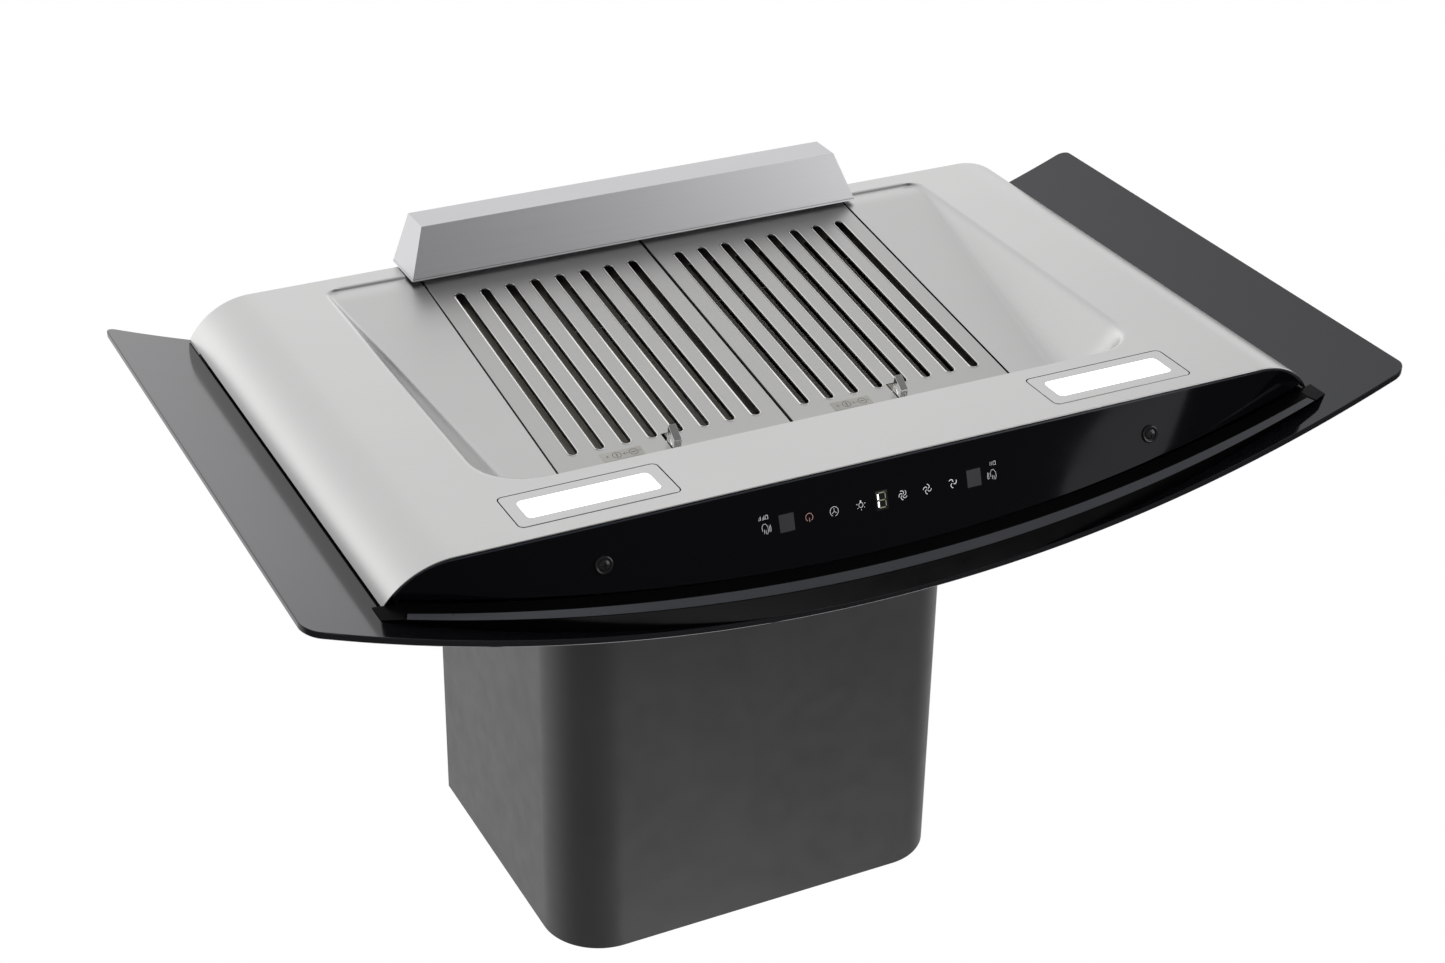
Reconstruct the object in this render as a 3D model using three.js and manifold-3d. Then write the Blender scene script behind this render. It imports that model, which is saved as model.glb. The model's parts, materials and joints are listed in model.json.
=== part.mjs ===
// Wall chimney range hood, 900 mm wide: a curved black glass canopy over a
// stainless body with a sloping filter basin, two hinged baffle filters, a
// removable oil tray, two LED lamps, a touch panel, a double-inlet blower with a
// flapped outlet collar, and a two-part telescopic chimney cover.
// Millimetres, +Z up, wall towards +Y, control panel towards -Y.
import * as THREE from 'three';
import { mergeVertices } from 'three/addons/utils/BufferGeometryUtils.js';
import Module from 'manifold-3d';

const wasm = await Module();
wasm.setup();

// ---------------------------------------------------------------- dimensions
const GAP = 0.3; // clearance between touching pieces
const SIDES = [[-1, 'left'], [1, 'right']];

// reference planes: z = 0 is the flat underside, y = 0 the body's rear edge
const WALL_Y = 14; // wall surface behind the body
const RAIL_Z = 270; // middle of the wall rail, where the hood hangs
const BUMPER_X = 300;
const BUMPER_Z = 32;

// glass canopy: a cylinder about the Y direction
const GLASS_HALF = 450;
const GLASS_FRONT = -486.5;
const GLASS_BACK = 3.3;
const GLASS_RADIUS = 1215; // upper surface
const GLASS_CROWN = 98.9; // height of the upper surface at the middle
const GLASS_T = 5;
const GLASS_CORNERS = [12, 9]; // plan radii, front and rear
const GLASS_AXIS_Z = GLASS_CROWN - GLASS_RADIUS;

// stainless body skin
const SKIN_T = 1.2;
const BODY_FRONT = -453;
const FLAT_HALF = 332; // where the flat underside starts to roll up
const SHOULDER_R = 59.2;
const BODY_HALF = 381; // side edge of the skin
const FRONT_LEAN = 0.18; // the skin's front edge falls back by this much per unit of height
const FRAME_T = 1.2; // top frame, under the glass
const FRAME_HALF = 370.5; // half-width of the pieces inside the skin
const FRAME_FRONT = -444;
const STRIP_X = [371, 373]; // side strips between skin and glass

// filter basin pressed into the underside
const BASIN_HALF = 277;
const BASIN_FRONT = -377;
const BASIN_BACK = -20;
const BASIN_CORNERS = [45, 12]; // plan radii, front and rear
const FILTER_OPENING = [-197.2, 197.2, -371, -35];
const BASIN_SLOPE = 0.141; // rise of the ceiling per unit towards the front
const BASIN_SIDE_RUN = 1.18; // side walls lean in by this much per unit of height
const BASIN_TILT = Math.atan(BASIN_SLOPE);

// baffle filters, drawn flat in a frame tilted with the basin ceiling
const FILTER_PIVOT_Y = -36;
const FILTER_PIVOT_Z = BASIN_SLOPE * (BASIN_BACK - FILTER_PIVOT_Y);
const FILTER_W = 195.6;
const FILTER_L = 336;
const FILTER_MID = 98.4;
const FILTER_FACE_T = 0.8;
const FILTER_DEEP = 14;
const BAFFLE_Z = [9, 9.8]; // inner baffle, its strips behind the face's slots
const FILTER_WALL = 1.2;
const SLOT_COUNT = 8;
const SLOT_PITCH = 22;
const SLOT_W = 7.5;
const SLOT_BACK = -29.8;
const SLOT_FRONT = -256.5;
const TAB_FRONT = -290;
const TAB_LENGTH = 17;
const TAB_DROP = 15;
const TAB_W = 5.5;
const LATCH_HALF = 9;
const LATCH_Z = [1.6, 4.4];
const LATCH_Y = [-334.2, -268];

// oil tray under the rear edge
const TRAY_TOP = -3.6;
const TRAY_BOTTOM = -41.4;
const TRAY_WALL = 1;
const TRAY_HALF = [205.6, 190.8]; // half-widths, at the top and the bottom
const TRAY_FRONT = [-35.3, -20.9];
const TRAY_REAR = [11, 10];
const TRAY_CLIP_X = 150;

// lamps
const LAMP_X = 216.8;
const LAMP_Y = -414.4;
const LAMP_FRAME = [123, 44.4];
const LAMP_LENS = [105.2, 27.3];
const LAMP_CORNER = 4;
const LAMP_DEEP = 2.2;
const LAMP_MODULE = [116, 38, 18];

// control panel and front rim, symmetric curves in u = x / 300
const PANEL_HALF = 374;
const PANEL_T = 3;
const PANEL_ARC = (u2) => [-474 + 15.65 * u2, 64.3 - 25.58 * u2];
const RIM_HALF = 388;
const RIM_BOW = 14.8; // how far the rim falls back per unit of u squared
const RIM_LOW = (u2) => 67.2 - 25.3 * u2;
const PANEL_MID_Z = 29.5; // height of the row of touch symbols
const PANEL_TILT = 0.3157;
const PANEL_MID_Y = BODY_FRONT - Math.tan(PANEL_TILT) * PANEL_MID_Z;
const SENSOR_X = 77.5;
const DISPLAY_X = 7.7;
const SENSOR_HALF = [6.3, 6.8]; // window in the panel, half-width and half-height
const DISPLAY_HALF = [5.3, 7.3];
const SCREW_X = 226.6;
const SCREW_BORE = 3.2;
const SCREW_LEAN = 0.239; // the panel's own lean at the screws

// blower, standing on the top frame inside the chimney
const BOX_HALF = 145;
const BOX_FRONT = -255;
const BOX_BACK = -20;
const BOX_TOP = 360;
const BOX_T = 1.2;
const BLOWER_Y = (BOX_FRONT + BOX_BACK) / 2;
const OUTLET_R = 75;
const SCROLL_X = 42.5;
const SCROLL_Z = 215;
const SCROLL_HALF = 65; // half its width along Y
const SCROLL_T = 1;
const IMPELLER_R = 78;
const IMPELLER_HALF = 58;
const IMPELLER_RIM = [13, 3]; // width and thickness of the end rings
const BLADES = 20;
const BLADE = [11, 1.2]; // chord and thickness
const BLADE_ANGLE = 0.5;
const SHAFT_R = 6;
const FLAP_Z = 396;
const FLAP_R = 71;
const BRIDGE_HALF = 3.5;
const COLLAR_TOP = 424;
const COLLAR_T = 1.2;

// chimney covers
const COVER_HALF = 183;
const COVER_FRONT = -282.5;
const COVER_BACK = -5;
const COVER_CORNER = 52;
const COVER_T = 1;
const COVER_TOP = 529;
const UPPER_BOTTOM = 112;
const UPPER_TOP = 527;
const UPPER_INSET = 1.8; // the upper cover runs this far inside the lower one's outside

// ----------------------------------------------------------------- materials
const finish = (color, roughness, metalness) =>
  new THREE.MeshStandardMaterial({ color, roughness, metalness });
const STEEL = finish(0xc9c9c6, 0.35, 1);
const GALVANISED = finish(0xa9adb0, 0.5, 1);
const GLASS = finish(0x101114, 0.05, 0);
const PANEL = finish(0x050506, 0.06, 0);
const BLACK_METAL = finish(0x17181a, 0.35, 0.4);
const COVER = finish(0x4a4c4c, 0.45, 0.6);
const PLASTIC = finish(0x232425, 0.5, 0);
const LENS = finish(0xffffff, 0.3, 0);
const BOARD = finish(0x1f5a34, 0.6, 0);
const ALUMINIUM = finish(0x9b9ea1, 0.4, 1);
const RUBBER = finish(0x1b1b1b, 0.9, 0);
const SCREW = finish(0x1c1c1e, 0.3, 0.8);

// ------------------------------------------------------------------- helpers
function toSolid(geometry) {
  const bare = geometry.clone();
  bare.deleteAttribute('normal');
  bare.deleteAttribute('uv');
  const merged = mergeVertices(bare, 1e-4);
  return new wasm.Manifold(
    new wasm.Mesh({
      numProp: 3,
      vertProperties: new Float32Array(merged.attributes.position.array),
      triVerts: new Uint32Array(merged.index.array),
    }),
  );
}

function toGeometry(solid) {
  const mesh = solid.getMesh();
  const geometry = new THREE.BufferGeometry();
  geometry.setAttribute('position', new THREE.BufferAttribute(mesh.vertProperties, 3));
  geometry.setIndex(new THREE.BufferAttribute(mesh.triVerts, 1));
  geometry.computeVertexNormals();
  return geometry;
}

const cut = (base, ...tools) => toGeometry(tools.reduce((s, t) => s.subtract(toSolid(t)), toSolid(base)));
const join = (base, ...more) => toGeometry(more.reduce((s, t) => s.add(toSolid(t)), toSolid(base)));
const common = (a, b) => toGeometry(toSolid(a).intersect(toSolid(b)));
const vectors = (points) => points.map(([x, y]) => new THREE.Vector2(x, y));

const outline = (points) => new THREE.Shape(vectors(points));
const addHole = (shape, points) => shape.holes.push(new THREE.Path(vectors(points)));

function slab(shape, z0, z1) {
  return new THREE.ExtrudeGeometry(shape, { depth: z1 - z0, bevelEnabled: false }).translate(0, 0, z0);
}

// a section drawn as (x, z), run along Y
function alongY(shape, y0, y1) {
  return slab(shape, -y1, -y0).rotateX(Math.PI / 2);
}

// a section drawn as (y, z), run along X
function alongX(shape, x0, x1) {
  return slab(shape, x0, x1).rotateY(Math.PI / 2).rotateX(Math.PI / 2);
}

function block(x0, x1, y0, y1, z0, z1) {
  const box = new THREE.BoxGeometry(x1 - x0, y1 - y0, z1 - z0);
  return box.translate((x0 + x1) / 2, (y0 + y1) / 2, (z0 + z1) / 2);
}

// points of an arc, from angle a0 to a1 in radians
function arc(cx, cy, r, a0, a1, steps) {
  return Array.from({ length: steps + 1 }, (_, i) => {
    const a = a0 + ((a1 - a0) * i) / steps;
    return [cx + r * Math.cos(a), cy + r * Math.sin(a)];
  });
}

// anticlockwise rectangle with its own radius for the front and the rear corners
function roundedRect(x0, x1, y0, y1, rFront, rBack = rFront, steps = 4) {
  const quarter = Math.PI / 2;
  return [
    ...arc(x0 + rFront, y0 + rFront, rFront, -2 * quarter, -quarter, steps),
    ...arc(x1 - rFront, y0 + rFront, rFront, -quarter, 0, steps),
    ...arc(x1 - rBack, y1 - rBack, rBack, 0, quarter, steps),
    ...arc(x0 + rBack, y1 - rBack, rBack, quarter, 2 * quarter, steps),
  ];
}

// moves each point of a geometry
function warp(geometry, move) {
  const position = geometry.attributes.position;
  for (let i = 0; i < position.count; i += 1) {
    const [x, y, z] = move(position.getX(i), position.getY(i), position.getZ(i));
    position.setXYZ(i, x, y, z);
  }
  return geometry;
}

function ring(rIn, rOut, z0, z1, segments = 32) {
  const profile = [[rIn, z0], [rOut, z0], [rOut, z1], [rIn, z1], [rIn, z0]];
  return lathe(profile, segments);
}

// profile of (radius, height) turned about Z
function lathe(profile, segments = 32) {
  const points = profile.map(([r, z]) => new THREE.Vector2(r, z));
  return new THREE.LatheGeometry(points, segments).rotateX(Math.PI / 2);
}

function drum(r, z0, z1, segments = 32) {
  return lathe([[0, z0], [r, z0], [r, z1], [0, z1]], segments);
}

const span = (from, to, steps) => Array.from({ length: steps + 1 }, (_, i) => from + ((to - from) * i) / steps);

const hood = new THREE.Group();
function add(name, geometry, material, parent = hood) {
  const mesh = new THREE.Mesh(geometry, material);
  mesh.name = name;
  parent.add(mesh);
  return mesh;
}

// ------------------------------------------------------ curves of the canopy
const arcHeight = (radius, x) => GLASS_AXIS_Z + Math.sqrt(radius * radius - x * x);
const GLASS_UNDER = GLASS_RADIUS - GLASS_T;
const FRAME_TOP = GLASS_UNDER - GAP;

function arcBand(rLow, rHigh, half, steps) {
  const xs = span(-half, half, steps);
  return outline([
    ...xs.map((x) => [x, arcHeight(rLow, x)]),
    ...xs.reverse().map((x) => [x, arcHeight(rHigh, x)]),
  ]);
}

function belowArc(radius, half, zLow) {
  const xs = span(half, -half, 24);
  return outline([[-half, zLow], [half, zLow], ...xs.map((x) => [x, arcHeight(radius, x)])]);
}

// height of the body skin's section at x, offset inwards by t
function skinHeight(x, t = 0) {
  const past = Math.max(Math.abs(x) - FLAT_HALF, 0);
  return SHOULDER_R - Math.sqrt((SHOULDER_R - t) ** 2 - past ** 2);
}

// ------------------------------------------------------------ canopy and body
function glassCanopy() {
  const band = arcBand(GLASS_UNDER, GLASS_RADIUS, GLASS_HALF + 1, 40);
  const bent = alongY(band, GLASS_FRONT - 1, GLASS_BACK + 1);
  const corners = roundedRect(-GLASS_HALF, GLASS_HALF, GLASS_FRONT, GLASS_BACK, ...GLASS_CORNERS);
  const plan = slab(outline(corners), -50, 150);
  const blowerHole = block(-BOX_HALF - 5, BOX_HALF + 5, BOX_FRONT - 5, BOX_BACK + 5, 0, 150);
  return cut(common(bent, plan), blowerHole);
}

function bodySkin() {
  const shoulder = Math.asin((BODY_HALF - FLAT_HALF) / SHOULDER_R);
  const down = -Math.PI / 2;
  const side = (r) => arc(FLAT_HALF, SHOULDER_R, r, down, down + shoulder, 7);
  const mirrored = (points) => points.map(([x, z]) => [-x, z]).reverse();
  const outer = side(SHOULDER_R);
  const inner = side(SHOULDER_R - SKIN_T).reverse();
  return alongY(outline([...mirrored(outer), ...outer, ...inner, ...mirrored(inner)]), BODY_FRONT, 0);
}

// the pressed basin as a solid, grown by t on its sides, ends and ceiling
function basin(t, z0) {
  const grown = BASIN_HALF + t * 1.5;
  const plan = outline(roundedRect(-grown, grown, BASIN_FRONT - t, BASIN_BACK + 1 + t, ...BASIN_CORNERS, 6));
  const sides = warp(slab(plan, z0, 80), (x, y, z) => [x * (1 - (BASIN_SIDE_RUN * z) / grown), y, z]);
  const below = block(-400, 400, -600, 200, -100, t).rotateX(-BASIN_TILT).translate(0, BASIN_BACK, 0);
  return common(sides, below);
}

function bodyShell() {
  const pressed = join(bodySkin(), basin(SKIN_T, 0));
  const filterHole = block(...FILTER_OPENING, -5, 90);
  const edge = (z) => [BODY_FRONT + FRONT_LEAN * z, z];
  const ahead = alongX(outline([[-480, -5], edge(-5), edge(40), [-480, 40]]), -400, 400);
  const lampHoles = SIDES.map(([side]) => lampBlock(side, LAMP_FRAME.map((size) => size + 2 * GAP), -2, 3));
  return cut(pressed, basin(0, -1), filterHole, ahead, ...lampHoles);
}

function topFrame() {
  const plate = alongY(arcBand(FRAME_TOP - FRAME_T, FRAME_TOP, FRAME_HALF, 24), FRAME_FRONT, -GAP);
  const ledge = 7; // the blower box stands on this much of the plate all round
  const hole = [-BOX_HALF + ledge, BOX_HALF - ledge, BOX_FRONT + ledge, BOX_BACK - ledge];
  return cut(plate, block(...hole, 0, 150));
}

function rearPanel() {
  const xs = span(-FRAME_HALF, FRAME_HALF, 24);
  const low = xs.map((x) => [x, skinHeight(x, SKIN_T) + GAP]);
  const high = xs.reverse().map((x) => [x, arcHeight(FRAME_TOP - FRAME_T - GAP, x)]);
  return alongY(outline([...low, ...high]), -SKIN_T - GAP, -GAP);
}

function sideStrip(side) {
  const [near, far] = STRIP_X;
  const low = [near, far].map((x) => [side * x, skinHeight(x, SKIN_T) + 1]);
  const high = [far, near].map((x) => [side * x, arcHeight(FRAME_TOP, x)]);
  const points = [...low, ...high];
  return alongY(outline(side > 0 ? points : points.reverse()), FRAME_FRONT, -5);
}

// black rim between the panel's arched top edge and the glass
function frontRim() {
  const section = outline([[-474, -0.11], [-487.9, 0], [-493.1, 0.11], [-488.5, 1], [-470, 1]]);
  const bar = new THREE.ExtrudeGeometry(section, { depth: 2 * RIM_HALF, steps: 32, bevelEnabled: false });
  return warp(bar.translate(0, 0, -RIM_HALF), (y, t, x) => {
    const u2 = (x / 300) ** 2;
    const low = RIM_LOW(u2);
    return [x, y + RIM_BOW * u2, low + t * (arcHeight(FRAME_TOP, x) - low)];
  });
}

// --------------------------------------------------------------- front panel
// a point of the panel's front: w = 0 on its straight lower edge, 1 on its arch
function panelPoint(x, w) {
  const [archY, archZ] = PANEL_ARC((x / 300) ** 2);
  const past = Math.max(Math.abs(x) - FLAT_HALF, 0);
  const lowY = BODY_FRONT + 0.09 * past;
  const lowZ = skinHeight(x, SKIN_T) + GAP;
  return [lowY + w * (archY - lowY), lowZ + w * (archZ - GAP - lowZ)];
}

const panelGroup = new THREE.Group();
panelGroup.position.set(0, PANEL_MID_Y, PANEL_MID_Z);
panelGroup.rotation.x = PANEL_TILT;
hood.add(panelGroup);
const onPanel = (geometry) => geometry.rotateX(PANEL_TILT).translate(0, PANEL_MID_Y, PANEL_MID_Z);

function screwSeat(side) {
  const w = (PANEL_MID_Z - SKIN_T - GAP) / (panelPoint(SCREW_X, 1)[1] - SKIN_T - GAP);
  const [y] = panelPoint(SCREW_X, w);
  return [side * SCREW_X, y, PANEL_MID_Z];
}
const SCREW_TILT = Math.PI / 2 + SCREW_LEAN; // turns +Z to face out of the panel

function controlPanel() {
  const sheet = warp(new THREE.BoxGeometry(2 * PANEL_HALF, 1, 1, 32, 1, 1), (x, t, w) => {
    const [y, z] = panelPoint(x, w + 0.5);
    return [x, y + (t > 0 ? PANEL_T : 0), z];
  });
  const window = (x, [halfX, halfZ]) => onPanel(block(x - halfX, x + halfX, -5, 8, -halfZ, halfZ));
  const openings = SIDES.flatMap(([side]) => [
    window(DISPLAY_X + side * SENSOR_X, SENSOR_HALF),
    drum(SCREW_BORE, -8, 8, 20).rotateX(SCREW_TILT).translate(...screwSeat(side)),
  ]);
  return cut(sheet, window(DISPLAY_X, DISPLAY_HALF), ...openings);
}

function panelFittings() {
  const behind = (x, [halfX, halfZ]) => {
    const [w, h] = [halfX - GAP, halfZ - GAP];
    return block(x - w, x + w, 0.2, 6, -h, h);
  };
  const cup = [[3.6, 0.6], [7, 0.6], [6.6, 1.6], [5.2, 2.2], [4.7, 2.2], [3.6, 1.1], [3.6, 0.6]];
  const screw = [[0, -10], [2.5, -10], [2.5, 0.7], [3.2, 1.1], [4.2, 2.1], [3, 2.5], [0, 2.6]];
  const cross = [block(-2, 2, -0.5, 0.5, 1.6, 4), block(-0.5, 0.5, -2, 2, 1.6, 4)];
  for (const [side, label] of SIDES) {
    const seat = (geometry) => geometry.rotateX(SCREW_TILT).translate(...screwSeat(side));
    add(`gesture_sensor_${label}`, behind(DISPLAY_X + side * SENSOR_X, SENSOR_HALF), PLASTIC, panelGroup);
    add(`panel_cup_${label}`, seat(lathe(cup, 16)), SCREW);
    add(`panel_screw_${label}`, seat(cut(lathe(screw, 16), ...cross)), SCREW);
  }
  add('display_module', behind(DISPLAY_X, DISPLAY_HALF), PLASTIC, panelGroup);
  add('control_board', block(-110, 126, 6.4, 8, -15, 17), BOARD, panelGroup);
}

// --------------------------------------------------------------------- lamps
// rectangle with round corners, centred on a lamp
function lampBlock(side, [w, d], z0, z1) {
  const x = side * LAMP_X;
  const edges = [x - w / 2, x + w / 2, LAMP_Y - d / 2, LAMP_Y + d / 2];
  return slab(outline(roundedRect(...edges, LAMP_CORNER)), z0, z1);
}

function lamps() {
  const [moduleW, moduleD, moduleTop] = LAMP_MODULE;
  const lens = LAMP_LENS.map((size) => size - 2 * GAP);
  for (const [side, label] of SIDES) {
    const hole = lampBlock(side, LAMP_LENS, -2, LAMP_DEEP + 1);
    const bezel = cut(lampBlock(side, LAMP_FRAME, -0.5, LAMP_DEEP), hole);
    add(`lamp_frame_${label}`, bezel, STEEL);
    add(`lamp_lens_${label}`, lampBlock(side, lens, -0.3, LAMP_DEEP), LENS);
    add(`lamp_module_${label}`, lampBlock(side, [moduleW, moduleD], LAMP_DEEP + GAP, moduleTop), ALUMINIUM);
  }
}

// ------------------------------------------------------------------- filters
const filterGroup = new THREE.Group();
filterGroup.position.set(0, FILTER_PIVOT_Y, FILTER_PIVOT_Z);
filterGroup.rotation.x = -BASIN_TILT;
hood.add(filterGroup);

function slotPath(x) {
  const r = SLOT_W / 2;
  return [
    ...arc(x, SLOT_FRONT + r, r, -Math.PI, 0, 6),
    ...arc(x, SLOT_BACK - r, r, 0, Math.PI, 6),
  ];
}

// plate with a row of long slots, cut to the filter's length
function slottedPlate(mid, halfW, [z0, z1], count, inset, ...holes) {
  const plate = outline(roundedRect(mid - halfW, mid + halfW, -FILTER_L + inset, -inset, 1.5, 1.5, 2));
  const slots = span(-(count - 1) / 2, (count - 1) / 2, count - 1).map((i) => slotPath(mid + i * SLOT_PITCH));
  [...slots, ...holes].forEach((hole) => addHole(plate, hole));
  return slab(plate, z0, z1);
}

function filterFrame(mid, half) {
  const frame = outline(roundedRect(mid - half, mid + half, -FILTER_L, -0.2, 1.5, 1.5, 2));
  const inside = half - FILTER_WALL;
  const [front, back] = [-FILTER_L + FILTER_WALL, -0.2 - FILTER_WALL];
  addHole(frame, roundedRect(mid - inside, mid + inside, front, back, 1, 1, 1));
  return slab(frame, FILTER_FACE_T + GAP, FILTER_DEEP);
}

// hat section that holds the latch's slider against the face
function latchGuide(mid) {
  const [inner, outer, z0, z1] = [LATCH_HALF + 1.5, LATCH_HALF + 4, 1.5, 6];
  const legs = [[-outer, z0], [-inner, z0], [-inner, z1], [inner, z1], [inner, z0], [outer, z0]];
  const section = [...legs, [outer, z1 + 1], [-outer, z1 + 1]].map(([x, z]) => [mid + x, z]);
  return alongY(outline(section), -325, -270);
}

// sliding bolt with a finger tab that hangs through the face
function latch(mid) {
  const slider = block(mid - LATCH_HALF, mid + LATCH_HALF, ...LATCH_Y, ...LATCH_Z);
  const side = [[0, -TAB_DROP], [TAB_LENGTH, -TAB_DROP + 2], [8, -6], [10, 3], [0, 3]];
  const tab = alongX(outline(side.map(([y, z]) => [TAB_FRONT + y, z])), mid - TAB_W / 2, mid + TAB_W / 2);
  return join(slider, tab);
}

function filters() {
  const half = FILTER_W / 2;
  const baffleInset = FILTER_WALL + GAP + 0.5;
  for (const [side, label] of SIDES) {
    const mid = side * FILTER_MID;
    const tabHole = roundedRect(mid - 5, mid + 5, TAB_FRONT - 3, TAB_FRONT + TAB_LENGTH + 9, 1, 1, 1);
    const face = slottedPlate(mid, half, [0, FILTER_FACE_T], SLOT_COUNT, 0.5, tabHole);
    add(`filter_face_${label}`, face, STEEL, filterGroup);
    add(`filter_frame_${label}`, filterFrame(mid, half), STEEL, filterGroup);
    const baffle = slottedPlate(mid, half - baffleInset, BAFFLE_Z, SLOT_COUNT - 1, baffleInset + 0.2);
    add(`filter_baffle_${label}`, baffle, STEEL, filterGroup);
    add(`latch_guide_${label}`, latchGuide(mid), GALVANISED, filterGroup);
    add(`latch_${label}`, latch(mid), STEEL, filterGroup);
  }
}

// ------------------------------------------------------------------ oil tray
// a bar with sloping ends and front, narrowing downwards, shrunk by t
function trayForm(t, zTop, zBottom) {
  return warp(new THREE.BoxGeometry(2, 2, 2), (x, y, z) => {
    const level = z > 0 ? zTop : zBottom;
    const down = (TRAY_TOP - level) / (TRAY_TOP - TRAY_BOTTOM);
    const at = ([top, bottom]) => top + (bottom - top) * down;
    return [x * (at(TRAY_HALF) - t), y > 0 ? at(TRAY_REAR) - t : at(TRAY_FRONT) + t, level];
  });
}

function oilTray() {
  return cut(trayForm(0, TRAY_TOP, TRAY_BOTTOM), trayForm(TRAY_WALL, TRAY_TOP + 1, TRAY_BOTTOM + TRAY_WALL));
}

function trayClips() {
  for (const [side, label] of SIDES) {
    const x = side * TRAY_CLIP_X;
    add(`tray_clip_${label}`, block(x - 14, x + 14, -14, -2, TRAY_TOP + 2 * GAP, -GAP), GALVANISED);
  }
}

// -------------------------------------------------------------------- blower
function blowerBox() {
  const under = alongY(belowArc(FRAME_TOP + GAP, 200, -20), BOX_FRONT - 5, BOX_BACK + 5);
  const outer = block(-BOX_HALF, BOX_HALF, BOX_FRONT, BOX_BACK, 40, BOX_TOP - BOX_T - GAP);
  const plan = [-BOX_HALF + BOX_T, BOX_HALF - BOX_T, BOX_FRONT + BOX_T, BOX_BACK - BOX_T];
  const inner = block(...plan, 30, BOX_TOP);
  return cut(outer, inner, under);
}

function blowerTopPlate() {
  const plate = block(-BOX_HALF, BOX_HALF, BOX_FRONT, BOX_BACK, BOX_TOP - BOX_T, BOX_TOP);
  return cut(plate, drum(OUTLET_R - 1, 300, 400).translate(0, BLOWER_Y, 0));
}

// the scroll's inner wall line: a widening spiral, then straight up to the outlet
function scrollLine(offset) {
  const turns = 20;
  const from = Math.PI / 3;
  const sweep = (4 * Math.PI) / 3;
  const spiral = Array.from({ length: turns + 1 }, (_, i) => {
    const a = from - (sweep * i) / turns;
    const r = 86 + (42 * i) / turns + offset;
    return [SCROLL_X + r * Math.cos(a), SCROLL_Z + r * Math.sin(a)];
  });
  const top = BOX_TOP - BOX_T - GAP;
  return [[spiral[0][0], top], ...spiral, [spiral[turns][0], top]];
}

function scrollPlate(y0, y1) {
  const plate = outline(scrollLine(SCROLL_T).reverse());
  addHole(plate, arc(SCROLL_X, SCROLL_Z, 70, 0, 2 * Math.PI, 32).slice(1));
  return alongY(plate, y0, y1);
}

// stands a piece turned about Z on the blower's axis, its +Z towards -Y
const onAxis = (geometry) => geometry.rotateX(Math.PI / 2).translate(SCROLL_X, BLOWER_Y, SCROLL_Z);

function impeller() {
  const [rimW, rimT] = IMPELLER_RIM;
  const blade = (i) => {
    const strip = new THREE.BoxGeometry(...BLADE, 2 * IMPELLER_HALF - 1).rotateZ(BLADE_ANGLE);
    return strip.translate(IMPELLER_R - 7, 0, 0).rotateZ((2 * Math.PI * i) / BLADES);
  };
  const rim = (z) => ring(IMPELLER_R - rimW, IMPELLER_R, z, z + rimT);
  const disc = drum(IMPELLER_R - 1, 12, 14);
  const hub = drum(16, 4, 34, 20);
  const blades = Array.from({ length: BLADES }, (_, i) => blade(i));
  const whole = join(disc, hub, rim(-IMPELLER_HALF), rim(IMPELLER_HALF - rimT), ...blades);
  return onAxis(cut(whole, drum(SHAFT_R + GAP, -10, 40, 20)));
}

// motor housing with a bored nose, drawn along its shaft
function motorCan() {
  const bore = SHAFT_R + GAP;
  const shell = [[0, -78], [42, -78], [46, -74], [46, -16], [42, -10], [14, -10], [14, -4]];
  return lathe([...shell, [bore, -4], [bore, -64], [0, -64]], 20);
}

// strap across the motor's rear, with feet on the scroll's rear plate
function motorBracket() {
  const left = [[-90.5, 65.8], [-106, 65.8], [-106, 67.3], [-92, 67.3], [-92, 81.4]];
  const right = [[94, 81.4], [94, 65.8], [90.5, 65.8], [90.5, 79.9]];
  const strap = outline([...left, ...right, [-90.5, 79.9]].reverse());
  return slab(strap, -12, 12).translate(SCROLL_X, BLOWER_Y, SCROLL_Z);
}

function blower() {
  add('blower_box', blowerBox(), GALVANISED);
  add('blower_top_plate', blowerTopPlate(), GALVANISED);
  const [front, back] = [BLOWER_Y - SCROLL_HALF, BLOWER_Y + SCROLL_HALF];
  const wall = outline([...scrollLine(0), ...scrollLine(SCROLL_T).reverse()]);
  add('scroll_wall', alongY(wall, front + SCROLL_T + GAP, back - SCROLL_T - GAP), GALVANISED);
  add('scroll_front_plate', scrollPlate(front, front + SCROLL_T), GALVANISED);
  add('scroll_rear_plate', scrollPlate(back - SCROLL_T, back), GALVANISED);
  add('impeller', impeller(), ALUMINIUM);
  add('motor_shaft', onAxis(drum(SHAFT_R, -62, 38, 20)), STEEL);
  add('motor', onAxis(motorCan()), ALUMINIUM);
  add('motor_bracket', motorBracket(), GALVANISED);
  add('capacitor', drum(14, 150, 212, 24).translate(161, -200, 0), ALUMINIUM);
  add('terminal_box', block(-175, -BOX_HALF - GAP, -190, -110, 150, 215), PLASTIC);
  add('cable_gland', drum(8, 215.3, 232, 16).translate(-160, -150, 0), PLASTIC);
}

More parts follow.
